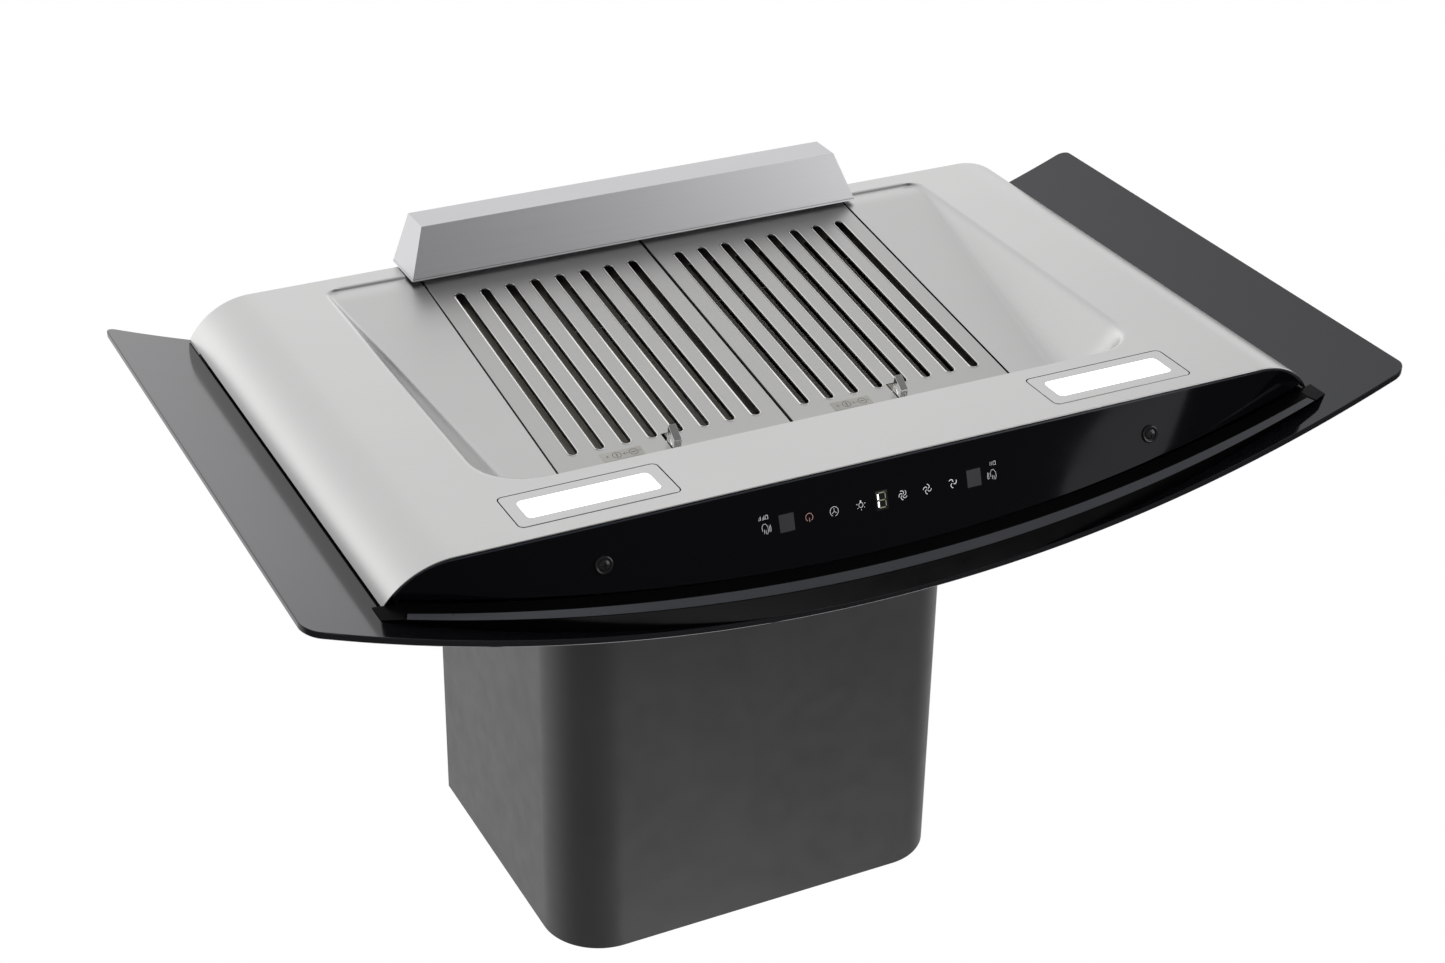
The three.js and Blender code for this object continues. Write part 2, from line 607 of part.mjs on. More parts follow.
function outlet() {
  const z0 = BOX_TOP + GAP;
  const [inner, flange] = [OUTLET_R - COLLAR_T, OUTLET_R + 15];
  const foot = [[inner, z0], [flange, z0], [flange, z0 + COLLAR_T], [OUTLET_R, z0 + COLLAR_T]];
  const collar = lathe([...foot, [OUTLET_R, COLLAR_TOP], [inner, COLLAR_TOP], [inner, z0]], 36);
  add('outlet_collar', collar.translate(0, BLOWER_Y, 0), PLASTIC);
  const reach = inner - 2 * GAP;
  const bridge = [-reach, reach, BLOWER_Y - BRIDGE_HALF, BLOWER_Y + BRIDGE_HALF];
  add('flap_bridge', block(...bridge, FLAP_Z - 6, FLAP_Z - 1.2), PLASTIC);
  for (const [side, label] of [[-1, 'front'], [1, 'rear']]) {
    const start = side > 0 ? 0 : Math.PI;
    const half = outline(arc(0, 0, FLAP_R, start, start + Math.PI, 20));
    const flap = slab(half, -0.6, 0.6).translate(0, BLOWER_Y + side * BRIDGE_HALF, FLAP_Z);
    add(`flap_${label}`, common(flap, drum(FLAP_R, 380, 410).translate(0, BLOWER_Y, 0)), PLASTIC);
  }
}

// ------------------------------------------------------------ chimney covers
// three-sided cover, open towards the wall, with large round front corners
function coverWall(inset, z0, z1) {
  const half = COVER_HALF - inset;
  const cx = COVER_HALF - COVER_CORNER;
  const cy = COVER_FRONT + COVER_CORNER;
  const line = (t) => {
    const r = COVER_CORNER - inset - t;
    const left = arc(-cx, cy, r, Math.PI, 1.5 * Math.PI, 10);
    const right = arc(cx, cy, r, 1.5 * Math.PI, 2 * Math.PI, 10);
    return [[-half + t, COVER_BACK], ...left, ...right, [half - t, COVER_BACK]];
  };
  return slab(outline([...line(0), ...line(COVER_T).reverse()]), z0, z1);
}

// wall bracket that the upper cover's sides are screwed to
function chimneyBracket() {
  const [reach, t, legY] = [COVER_HALF - UPPER_INSET - COVER_T - GAP - 0.2, 1.5, -55];
  const [jogX, jogY] = [165, COVER_BACK - 15]; // the legs step out, out of sight behind the covers
  const outer = [[jogX, WALL_Y], [jogX, jogY], [reach, jogY], [reach, legY]];
  const inner = [[reach - t, legY], [reach - t, jogY - t], [jogX - t, jogY - t], [jogX - t, WALL_Y - t]];
  const right = [...outer, ...inner];
  const left = right.map(([x, y]) => [-x, y]).reverse();
  return slab(outline([...left, ...right].reverse()), UPPER_TOP - 30, UPPER_TOP - 4);
}

function chimney() {
  const canopy = alongY(belowArc(GLASS_RADIUS + GAP, 200, 0), COVER_FRONT - 5, COVER_BACK + 5);
  add('chimney_cover_lower', cut(coverWall(0, 60, COVER_TOP), canopy), COVER);
  add('chimney_cover_upper', coverWall(UPPER_INSET, UPPER_BOTTOM, UPPER_TOP), COVER);
  add('chimney_bracket', chimneyBracket(), GALVANISED);
}

// ------------------------------------------------------------- wall fixings
function wallFixings() {
  const t = 2;
  const lip = 3.5; // room between the wall rail's lip and the blower box
  const railFoot = [[WALL_Y - t, 18.5], [WALL_Y - t, -20], [WALL_Y, -20], [WALL_Y, 20]];
  const rail = outline([...railFoot, [lip, 20], [lip, 30], [lip - 1.5, 30], [lip - 1.5, 18.5]]);
  add('wall_rail', alongX(rail, -140, 140).translate(0, 0, RAIL_Z), GALVANISED);
  const plate = BOX_BACK + GAP;
  const hookBack = [[plate, 40], [plate, -35], [plate + 1.5, -35], [plate + 1.5, 38.5]];
  const hook = outline([...hookBack, [5, 38.5], [5, 24], [6.5, 24], [6.5, 40]]);
  add('hanging_hook', alongX(hook, -110, 110).translate(0, 0, RAIL_Z), GALVANISED);
  for (const [side, label] of SIDES) {
    const bumper = drum(12, -WALL_Y, 0, 24).rotateX(Math.PI / 2);
    add(`wall_bumper_${label}`, bumper.translate(side * BUMPER_X, 0, BUMPER_Z), RUBBER);
  }
}

// ------------------------------------------------------------------ assembly
add('glass_canopy', glassCanopy(), GLASS);
add('body_shell', bodyShell(), STEEL);
add('top_frame', topFrame(), BLACK_METAL);
add('rear_panel', rearPanel(), GALVANISED);
for (const [side, label] of SIDES) add(`side_strip_${label}`, sideStrip(side), BLACK_METAL);
add('front_rim', frontRim(), BLACK_METAL);
add('control_panel', controlPanel(), PANEL);
panelFittings();
lamps();
filters();
add('oil_tray', oilTray(), STEEL);
trayClips();
blower();
outlet();
chimney();
wallFixings();

// the origin is the middle of the wall rail's back face
hood.position.set(0, -WALL_Y, -RAIL_Z);
const group = new THREE.Group();
group.add(hood);

export default group;
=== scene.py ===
import json
import math

import bmesh
import bpy
from mathutils import Matrix, Vector

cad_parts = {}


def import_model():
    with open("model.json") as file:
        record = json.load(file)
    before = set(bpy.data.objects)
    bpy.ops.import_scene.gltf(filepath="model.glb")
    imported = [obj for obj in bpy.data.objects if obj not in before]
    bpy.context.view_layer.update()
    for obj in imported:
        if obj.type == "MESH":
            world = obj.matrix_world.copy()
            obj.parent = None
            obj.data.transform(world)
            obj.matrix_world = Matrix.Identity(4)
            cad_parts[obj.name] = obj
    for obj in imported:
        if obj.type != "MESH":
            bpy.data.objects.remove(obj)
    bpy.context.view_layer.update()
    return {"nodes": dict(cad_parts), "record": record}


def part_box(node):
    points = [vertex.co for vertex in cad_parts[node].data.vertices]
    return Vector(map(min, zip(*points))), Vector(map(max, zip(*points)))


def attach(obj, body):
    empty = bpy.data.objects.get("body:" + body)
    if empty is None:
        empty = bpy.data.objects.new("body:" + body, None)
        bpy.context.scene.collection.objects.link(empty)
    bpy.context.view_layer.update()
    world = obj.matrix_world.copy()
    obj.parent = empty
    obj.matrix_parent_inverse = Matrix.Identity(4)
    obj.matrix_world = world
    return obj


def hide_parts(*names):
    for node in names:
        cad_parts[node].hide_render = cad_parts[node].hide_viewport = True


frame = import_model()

# ---- dimensions
# Millimetres in the hood's own axes: x across, y from the body's rear edge (front
# is negative), z up from the flat underside. world() puts them in the row's frame.
MM = 0.001
shell_low, shell_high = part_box("body_shell")

SKIN_T = 1.2
BODY_FRONT = -453
FLAT_HALF = 332
SHOULDER_R = 59.2
BODY_HALF = 383.4
FRONT_LEAN = 0.18
LEAN_RUN = 40  # the front edge's lean fades out over this depth
FOLD_R = 0.5
BASIN_BEND = 284  # columns are close together out to here

BASIN_HALF = 275.5
BASIN_FRONT = -377
BASIN_BACK = -20
BASIN_CORNER = 45
REAR_CORNER = 12
REAR_STEP = 2
BASIN_SLOPE = 0.141
BASIN_SIDE_RUN = 0.87
BASIN_DRAFT = 9  # rise of the front wall per unit of run
REAR_DRAFT = 1.2  # the same for the rear wall
STEP_BEND, REAR_BEND, SIDE_BEND, FRONT_BEND, EDGE_BEND = 1, 1.5, 9, 6, 3  # widths of its bends
BASIN_TILT = math.atan(BASIN_SLOPE)
OPENING_HALF = 197.2
OPENING_FRONT = -371
OPENING_BACK = -27.3

GLASS_HALF = 450
GLASS_FRONT = -486.5
GLASS_BACK = 3.3
GLASS_RADIUS = 1215
GLASS_CROWN = 98.9
GLASS_T = 5
GLASS_CORNERS = (12, 9)  # front, back
GLASS_SPAN = (-60, 160)  # heights that cutters of the glass run through
BLOWER_ROOM = 5
GAP = 0.3
FRAME_TOP = GLASS_RADIUS - GLASS_T - GAP

FILTER_PIVOT_Y = -36
FILTER_PIVOT_Z = BASIN_SLOPE * (BASIN_BACK - FILTER_PIVOT_Y)
FILTER_MID = 98.4
FILTER_HALF = 97.8
FILTER_L = 336
FILTER_LIP = 7  # face past the hinge line, under the oil tray
SEAM = 0.7  # each face is this much narrower than FILTER_HALF on either side
FACE_T = 0.8
SLOT_COUNT = 8
SLOT_PITCH = 22
SLOT_R = 3.75
SLOT_BACK = -22.7
SLOT_FRONT = -259
TAB_FRONT = -278.5
TAB_LENGTH = 12.5
TAB_DROP = (8, 14.5)  # how far it hangs down at its front and back
TAB_HALF = 3.2
TAB_SHIFT = 0.5
TAB_TRAVEL = 9  # room for the latch's slide
SLIDER = (9, -334.2, -264)  # half-width, front and back of the latch's bolt
LABEL_AT = (25.6, 34, -275.6, -264.8)  # offset from the filter's middle, width, front, back

ARCH_UNIT = 300  # arches and bows are given per square of x / ARCH_UNIT
PANEL_HALF = 376.6
PANEL_T = 3
PANEL_RAKE = 0.09  # its lower edge falls back by this much per unit past FLAT_HALF
PANEL_TOP = (-474, 64.3)  # y and z of the upper edge in the middle
PANEL_BOW = 15.65
PANEL_ARCH = 25.58
PANEL_MID_Z = 29.5
SCREW_X = 226.6
SCREW_TILT = math.pi / 2 + 0.239
RIM_HALF = (374, 390)  # on its shelf, on the glass
RIM_BOW = 14.8
RIM_SHELF = 67.2
RIM_ARCH = 25.3
REFLECTION_STRIP_REACH = 0.994  # share of the rim's length

POWER_X, TIMER_X, LAMP_SIGN_X, DIGIT_X = 67.1, 46.9, 25.1, 7.7
FANS = ((-9.7, 5), (-30.2, 4), (-51.8, 3))
HANDS = ((102.7, -1, "off"), (-86.2, 1, "on"))
HAND_Z = 30.6
WORD_Z = 21.2
SENSORS = ((85.2, "right"), (-69.8, "left"))

TRAY_TOP = -0.8
TRAY_BOTTOM = -41.4
TRAY_HALF = (205.6, 190.8)  # this and the next two: at its rim, at its bottom
TRAY_FRONT = (-35.3, -20.9)
TRAY_REAR = (11, 10)
TRAY_HEM = 1.4

LAMP_X = 216.8
LAMP_Y = -414.4
LAMP_FRAME = (122, 44.2)
LAMP_LENS = (101.6, 26)
LAMP_CORNER = 4
LAMP_GAP = 0.95

COVER_HALF = 183
COVER_FRONT = -282.5
COVER_BACK = -5
COVER_CORNER = 52
COVER_T = 1
COVER_TOP = 529
COVER_STRAIGHT = 130  # above the curve of the glass
UPPER_INSET = 1.8
UPPER_SPAN = (112, 527)  # bottom, top

SIDES = ((-1, "left"), (1, "right"))


def world(p):
    return (p[0] * MM, shell_high.y + p[1] * MM, shell_low.z + p[2] * MM)


def linked(name, data):
    """A new object in the scene."""
    obj = bpy.data.objects.new(name, data)
    bpy.context.scene.collection.objects.link(obj)
    return obj


# ---- mesh building
def make(name, points, faces, place=world):
    """A mesh object from points and faces, its normals pointing out."""
    mesh = bpy.data.meshes.new(name)
    mesh.from_pydata([place(p) for p in points], [], faces)
    bm = bmesh.new()
    bm.from_mesh(mesh)
    bmesh.ops.remove_doubles(bm, verts=bm.verts, dist=1e-6)
    bmesh.ops.recalc_face_normals(bm, faces=bm.faces)
    bm.to_mesh(mesh)
    bm.free()
    return linked(name, mesh)


def face_down(mesh):
    if sum(p.normal.z * p.area for p in mesh.polygons) > 0:
        mesh.flip_normals()


def bake(obj):
    """Makes the modifiers' result the object's own mesh."""
    bpy.context.view_layer.update()
    shaped = obj.evaluated_get(bpy.context.evaluated_depsgraph_get())
    mesh = bpy.data.meshes.new_from_object(shaped)
    obj.modifiers.clear()
    obj.data = mesh
    return obj


def carve(obj, cutter, operation="DIFFERENCE"):
    modifier = obj.modifiers.new("carve", "BOOLEAN")
    modifier.object = cutter
    modifier.operation = operation
    modifier.solver = "EXACT"
    bake(obj)
    bpy.data.objects.remove(cutter)
    return obj


def thicken(obj, thickness):
    """Grows a sheet on its inner side."""
    modifier = obj.modifiers.new("thickness", "SOLIDIFY")
    modifier.thickness = thickness * MM
    modifier.offset = -1
    modifier.use_even_offset = True
    return bake(obj)


def soften(obj, width, segments=2, angle=35):
    modifier = obj.modifiers.new("edges", "BEVEL")
    modifier.width = width * MM
    modifier.segments = segments
    modifier.limit_method = "ANGLE"
    modifier.angle_limit = math.radians(angle)
    modifier.use_clamp_overlap = True
    return bake(obj)


def dress(obj, material, body, slot, *replaced):
    """Gives a finished piece its shading, material and body; its slot is not used."""
    mesh = obj.data
    mesh.polygons.foreach_set("use_smooth", [True] * len(mesh.polygons))
    mesh.set_sharp_from_angle(angle=math.radians(30))
    flats = obj.modifiers.new("flats", "WEIGHTED_NORMAL")
    flats.keep_sharp = True
    mesh.materials.clear()
    mesh.materials.append(material)
    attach(obj, body)
    if replaced:
        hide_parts(*replaced)


def joined(name, objects):
    """One object holding the meshes of several."""
    bm = bmesh.new()
    for obj in objects:
        bm.from_mesh(obj.data)
        bpy.data.objects.remove(obj)
    mesh = bpy.data.meshes.new(name)
    bm.to_mesh(mesh)
    bm.free()
    return linked(name, mesh)


def grid(name, rows, keep=lambda i, j: True):
    """A sheet through rows of points; keep(i, j) says which cells it has."""
    width = len(rows[0])
    corners = [i * width + j for i in range(len(rows) - 1) for j in range(width - 1) if keep(i, j)]
    faces = [(k, k + 1, k + width + 1, k + width) for k in corners]
    return make(name, [p for row in rows for p in row], faces)


def loft(name, loops, place=world, caps=False, wrap=False):
    """A skin over closed loops of equal length; caps closes its ends, wrap joins last to first."""
    n = len(loops[0])
    steps = len(loops) if wrap else len(loops) - 1
    faces = []
    for i in range(steps):
        a, b = i * n, ((i + 1) % len(loops)) * n
        faces += [(a + j, a + (j + 1) % n, b + (j + 1) % n, b + j) for j in range(n)]
    if caps:
        last = (len(loops) - 1) * n
        faces += [tuple(reversed(range(n))), tuple(range(last, last + n))]
    return make(name, [p for loop in loops for p in loop], faces, place)


def prism(name, outline, low, high, lift, place=world):
    """An outline of 2D points run from low to high; lift(u, v, w) makes each 3D point."""
    loops = [[lift(u, v, w) for u, v in outline] for w in (low, high)]
    return loft(name, loops, place, caps=True)


def turned(name, profile, steps, place):
    """A profile of (radius, height) turned about the local Z axis, closed on itself."""
    angles = [2 * math.pi * i / steps for i in range(steps)]
    loops = [[(r * math.cos(a), r * math.sin(a), z) for r, z in profile] for a in angles]
    return loft(name, loops, place, wrap=True)


def span(low, high, steps):
    return [low + (high - low) * i / steps for i in range(steps + 1)]


def arc(cx, cy, r, start, end, steps):
    return [(cx + r * math.cos(a), cy + r * math.sin(a)) for a in span(start, end, steps)]


def rounded(x0, x1, y0, y1, r_front, r_back=None, steps=6):
    """Anticlockwise rectangle with round corners."""
    r_back = r_front if r_back is None else r_back
    q = math.pi / 2
    return (
        arc(x0 + r_front, y0 + r_front, r_front, -2 * q, -q, steps)
        + arc(x1 - r_front, y0 + r_front, r_front, -q, 0, steps)
        + arc(x1 - r_back, y1 - r_back, r_back, 0, q, steps)
        + arc(x0 + r_back, y1 - r_back, r_back, q, 2 * q, steps)
    )


def about(cx, cy, size, r, inset=0, steps=6):
    """Round-cornered rectangle round a centre, drawn in by inset."""
    w, d = size[0] / 2 - inset, size[1] / 2 - inset
    return rounded(cx - w, cx + w, cy - d, cy + d, max(r - inset, 0.4), steps=steps)


def upright(u, v, w):
    return (u, v, w)


def along_y(u, v, w):
    return (u, w, v)


def along_x(u, v, w):
    return (w, u, v)


# ---- curves
def arc_height(radius, x):
    return GLASS_CROWN - GLASS_RADIUS + math.sqrt(radius * radius - x * x)


def skin_height(x, inset=0):
    past = max(abs(x) - FLAT_HALF, 0)
    return SHOULDER_R - math.sqrt((SHOULDER_R - inset) ** 2 - past**2)


def soft_max(a, b, k):
    h = max(k - abs(a - b), 0) / k
    return max(a, b) + h * h * k / 4


def soft_min(a, b, k):
    return -soft_max(-a, -b, k)


def basin_half(y):
    r, into = BASIN_CORNER, BASIN_FRONT + BASIN_CORNER - y
    if y > BASIN_BACK - REAR_CORNER:
        r, into = REAR_CORNER, y - BASIN_BACK + REAR_CORNER
    into = min(max(into, 0), r)
    return BASIN_HALF - r + math.sqrt(r * r - into * into)


def basin_height(x, y):
    """Height of the pressed basin above the flat underside, its bends rounded."""
    ceiling = soft_max(BASIN_SLOPE * (BASIN_BACK - y), REAR_STEP, STEP_BEND)
    ceiling = soft_min(ceiling, REAR_DRAFT * (BASIN_BACK - y), REAR_BEND)
    side = BASIN_HALF / BASIN_SIDE_RUN * (1 - abs(x) / basin_half(y))
    inner = soft_min(ceiling, side, min(SIDE_BEND, 2 + ceiling / 6))
    front = BASIN_DRAFT * (y - BASIN_FRONT)
    return soft_max(soft_min(inner, front, FRONT_BEND), 0, EDGE_BEND)


def panel_point(x, w):
    """Front of the control panel: w = 0 on its lower edge, 1 on its arched upper edge."""
    u2 = (x / ARCH_UNIT) ** 2
    past = max(abs(x) - FLAT_HALF, 0)
    low = (BODY_FRONT + PANEL_RAKE * past, skin_height(x, SKIN_T) + GAP)
    high = (PANEL_TOP[0] + PANEL_BOW * u2, PANEL_TOP[1] - PANEL_ARCH * u2 - GAP)
    return (x, low[0] + w * (high[0] - low[0]), low[1] + w * (high[1] - low[1]))


def on_panel(p):
    """Puts (x, z, lift) on the panel's front, lift outwards."""
    x, z, lift = p
    low, high = panel_point(x, 0), panel_point(x, 1)
    w = (z - low[2]) / (high[2] - low[2])
    point = Vector(panel_point(x, w))
    across = Vector(panel_point(x + 1, w)) - point
    up = Vector(high) - Vector(low)
    out = across.cross(up).normalized()
    return world(point + out * lift)


def on_filter(p):
    """Filter coordinates: y from the hinge edge, z up from the face."""
    x, y, z = p
    c, s = math.cos(BASIN_TILT), math.sin(BASIN_TILT)
    return world((x, FILTER_PIVOT_Y + y * c + z * s, FILTER_PIVOT_Z - y * s + z * c))


# ---- materials
class Nodes:
    """Short forms for building a material's nodes."""

    def __init__(self, name):
        self.material = bpy.data.materials.new(name)
        self.material.use_nodes = True
        self.tree = self.material.node_tree
        self.shader = self.tree.nodes["Principled BSDF"]
        self.coords = self.tree.nodes.new("ShaderNodeTexCoord")

    def add(self, kind, **settings):
        node = self.tree.nodes.new("ShaderNode" + kind)
        for key, value in settings.items():
            setattr(node, key, value)
        return node

    def link(self, source, target):
        self.tree.links.new(source, target)

    def set(self, **values):
        for key, value in values.items():
            self.shader.inputs[key.replace("_", " ")].default_value = value

    def noise(self, scale, stretch=(1, 1, 1), detail=3.0, roughness=0.5):
        """Noise over the object in metres; stretch scales each axis's frequency."""
        mapping = self.add("Mapping")
        mapping.inputs["Scale"].default_value = stretch
        self.link(self.coords.outputs["Object"], mapping.inputs["Vector"])
        node = self.add("TexNoise")
        node.inputs["Scale"].default_value = scale
        node.inputs["Detail"].default_value = detail
        node.inputs["Roughness"].default_value = roughness
        self.link(mapping.outputs["Vector"], node.inputs["Vector"])
        return node.outputs["Fac"]

    def cells(self, scale):
        node = self.add("TexVoronoi")
        node.inputs["Scale"].default_value = scale
        self.link(self.coords.outputs["Object"], node.inputs["Vector"])
        return node

    def ramp(self, value, *stops):
        """Colour ramp with (position, colour) stops, colours as grey values or RGB."""
        node = self.add("ValToRGB")
        elements = node.color_ramp.elements
        while len(elements) < len(stops):
            elements.new(0.5)
        for element, (position, colour) in zip(elements, stops):
            rgb = colour if isinstance(colour, tuple) else (colour,) * 3
            element.position = position
            element.color = (*rgb, 1)
        self.link(value, node.inputs["Fac"])
        return node.outputs["Color"]

    def between(self, value, low, high, start=0.3, end=0.7):
        node = self.add("MapRange")
        for key, number in (("From Min", start), ("From Max", end), ("To Min", low), ("To Max", high)):
            node.inputs[key].default_value = number
        self.link(value, node.inputs["Value"])
        return node.outputs["Result"]

    def mixed(self, factor, a, b):
        """Two colours mixed; sockets 6 and 7 are the colour mode's A and B."""
        node = self.add("Mix", data_type="RGBA")
        node.inputs["Factor"].default_value = factor
        self.link(a, node.inputs[6])
        self.link(b, node.inputs[7])
        return node.outputs[2]

    def bump(self, height, strength, distance):
        node = self.add("Bump")
        node.inputs["Strength"].default_value = strength
        node.inputs["Distance"].default_value = distance
        self.link(height, node.inputs["Height"])
        self.link(node.outputs["Normal"], self.shader.inputs["Normal"])

    def colour(self, source):
        self.link(source, self.shader.inputs["Base Color"])

    def gloss(self, source):
        self.link(source, self.shader.inputs["Roughness"])


def brushed_steel(name, dark, light, rough, grain=0.5):
    """Stainless sheet brushed along X, with fine streaks and broad cloudy tone."""
    n = Nodes(name)
    fine = n.noise(1, (14, 1300, 1300), 2)
    streaks = n.noise(1, (6, 520, 520), 4)
    cloud = n.noise(5, (1, 2, 2), 2)
    tones = (0.3, dark), (0.7, light)
    n.colour(n.mixed(0.4, n.ramp(streaks, *tones), n.ramp(cloud, *tones)))
    n.gloss(n.between(streaks, rough - 0.02, rough + 0.03))
    n.bump(fine, grain * 0.05, 0.00005)
    n.set(Metallic=1.0)
    return n.material


def galvanised():
    n = Nodes("galvanised")
    spangle = n.cells(140)
    tone = n.ramp(spangle.outputs["Color"], (0.1, (0.36, 0.37, 0.38)), (0.9, (0.5, 0.51, 0.52)))
    cloud = n.ramp(n.noise(14), (0.3, (0.34, 0.35, 0.35)), (0.7, (0.52, 0.53, 0.54)))
    n.colour(n.mixed(0.3, tone, cloud))
    n.gloss(n.between(n.noise(60), 0.36, 0.52))
    n.bump(spangle.outputs["Distance"], 0.06, 0.0002)
    n.set(Metallic=1.0)
    return n.material


def powder_coat(name, base, rough, peel=0.15, warm=(1, 1, 1), specular=0.5):
    """Satin paint with a slight orange peel and faint unevenness."""
    n = Nodes(name)
    dark = tuple(base * 0.93 * w for w in warm)
    light = tuple(base * 1.07 * w for w in warm)
    n.colour(n.ramp(n.noise(9), (0.3, dark), (0.7, light)))
    n.gloss(n.between(n.noise(45), rough - 0.03, rough + 0.04))
    n.bump(n.noise(900, detail=1), peel, 0.0001)
    n.set(Specular_IOR_Level=specular)
    return n.material


def gloss_black(name, base, rough, specular=0.5):
    """Polished black glass or panel: a trace of wipe marks in its gloss."""
    n = Nodes(name)
    n.colour(n.ramp(n.noise(6), (0.3, base), (0.7, tuple(c * 1.15 for c in base))))
    n.gloss(n.between(n.noise(12, (1, 3, 3)), rough, rough + 0.03))
    n.bump(n.noise(3, detail=1), 0.02, 0.0005)
    n.set(Specular_IOR_Level=specular, Specular_Tint=(0.94, 0.96, 1.0, 1))
    return n.material


def moulded(name, base, rough=0.5):
    """Plastic or rubber with a fine moulded texture."""
    n = Nodes(name)
    dark, light = (tuple(c * k for c in base) for k in (0.85, 1.1))
    n.colour(n.ramp(n.noise(20), (0.3, dark), (0.7, light)))
    n.gloss(n.between(n.noise(80), rough - 0.06, rough + 0.08))
    n.bump(n.noise(1800, detail=1), 0.12, 0.0001)
    return n.material


def cast_aluminium():
    n = Nodes("aluminium")
    n.colour(n.ramp(n.noise(40), (0.3, (0.52, 0.53, 0.54)), (0.7, (0.64, 0.65, 0.66))))
    n.gloss(n.between(n.noise(160), 0.32, 0.48))
    n.bump(n.noise(700), 0.08, 0.0001)
    n.set(Metallic=1.0)
    return n.material


def circuit_board():
    n = Nodes("circuit_board")
    tracks = n.noise(1, (260, 900, 700), 0)
    mask, copper = (0.01, 0.07, 0.025), (0.03, 0.16, 0.06)
    n.colour(n.ramp(tracks, (0.44, mask), (0.5, copper), (0.56, mask)))
    n.gloss(n.between(n.noise(90), 0.3, 0.45))
    n.bump(tracks, 0.1, 0.0001)
    return n.material


def lamp_lens():
    """Opal diffuser, lit from behind."""
    n = Nodes("lamp_lens")
    n.colour(n.ramp(n.noise(300, detail=1), (0.3, 0.9), (0.7, 0.95)))
    n.gloss(n.between(n.noise(120), 0.3, 0.4))
    n.set(Emission_Color=(1, 1, 1, 1), Emission_Strength=1.6)
    return n.material


def light_ink(name, colour, strength):
    """Printed or back-lit mark on the touch panel."""
    n = Nodes(name)
    n.colour(n.ramp(n.noise(400), (0.3, tuple(c * 0.85 for c in colour)), (0.7, colour)))
    n.gloss(n.between(n.noise(300), 0.3, 0.4))
    n.set(Emission_Color=(*colour, 1), Emission_Strength=strength)
    return n.material


STEEL = brushed_steel("stainless", (0.64, 0.64, 0.635), (0.67, 0.67, 0.663), 0.33)
FILTER_STEEL = brushed_steel("filter_steel", (0.56, 0.56, 0.552), (0.59, 0.59, 0.582), 0.36, 0.3)
TRAY_STEEL = brushed_steel("tray_steel", (0.60, 0.595, 0.61), (0.63, 0.625, 0.64), 0.36, 0.3)
# Polished steel for the slot beads and latch tabs, its colour raised well above the body's steel as painted
# highlight.
BRIGHT_HIGHLIGHT_STEEL = brushed_steel("highlight_bright_steel", (0.88, 0.88, 0.87), (0.92, 0.92, 0.91), 0.15, 0.2)
# Painted shade: near-black steel for the filter frames, so the slots and gaps in front of them read dark.
SHADE_DARK_STEEL = brushed_steel("painted_shade_steel", (0.045, 0.044, 0.04), (0.075, 0.073, 0.067), 0.45, 0.3)
BAFFLE_STEEL = brushed_steel("baffle_steel", (0.5, 0.48, 0.44), (0.6, 0.57, 0.52), 0.5, 0.3)
SHAFT_STEEL = brushed_steel("shaft_steel", (0.45, 0.45, 0.46), (0.6, 0.6, 0.6), 0.22)
GALVANISED = galvanised()
BLACK_METAL = powder_coat("black_metal", 0.008, 0.32, 0.05)
RIM_BLACK = powder_coat("rim_black", 0.002, 0.3, 0.02, specular=0.03)
# Painted reflection: blue-grey satin, lighter than the rim, for a strip on the black rim's chamfer.
REFLECTION_GREY = powder_coat("painted_reflection_grey", 0.05, 0.3, 0.02, (0.9, 0.97, 1.1), specular=0.4)
# Painted highlight: blue-grey a little lighter than the panel, for its lit lower edge.
EDGE_HIGHLIGHT_NAVY = powder_coat("edge_highlight_navy", 0.026, 0.25, 0.02, (0.8, 0.95, 1.25))
COVER_PAINT = powder_coat("cover_paint", 0.055, 0.36, 0.05, (0.98, 1.0, 1.0))
# Painted shade: dull black, nearly without gloss, for strips that darken the gaps round the filters and
# lamps.
GAP_SHADE_BLACK = powder_coat("gap_shade_black", 0.002, 0.7, 0.02, specular=0.05)
PANEL_GLOSS = gloss_black("panel_gloss", (0.0018, 0.0018, 0.0026), 0.05, 0.14)
GLASS_BLACK = gloss_black("canopy_glass", (0.004, 0.0042, 0.0055), 0.08, 0.7)
PLASTIC = moulded("dark_plastic", (0.03, 0.03, 0.033))
RUBBER = moulded("rubber", (0.02, 0.02, 0.02), 0.8)
SCREW_BLACK = powder_coat("screw_black", 0.012, 0.2, 0.02)
ALUMINIUM = cast_aluminium()
BOARD = circuit_board()
LENS = lamp_lens()
INK = light_ink("white_ink", (0.7, 0.71, 0.73), 0.3)
INK_WARM = light_ink("warm_ink", (0.62, 0.36, 0.34), 0.2)
SEGMENT_LIT = light_ink("segment_lit", (1.0, 1.0, 1.0), 1.5)
SEGMENT_OFF = light_ink("segment_off", (0.35, 0.36, 0.2), 0.12)
WINDOW = gloss_black("sensor_window", (0.0085, 0.0095, 0.0105), 0.12, 0.25)
LABEL = moulded("filter_label", (0.47, 0.46, 0.43), 0.45)
LABEL_INK = moulded("label_ink", (0.08, 0.08, 0.08), 0.5)

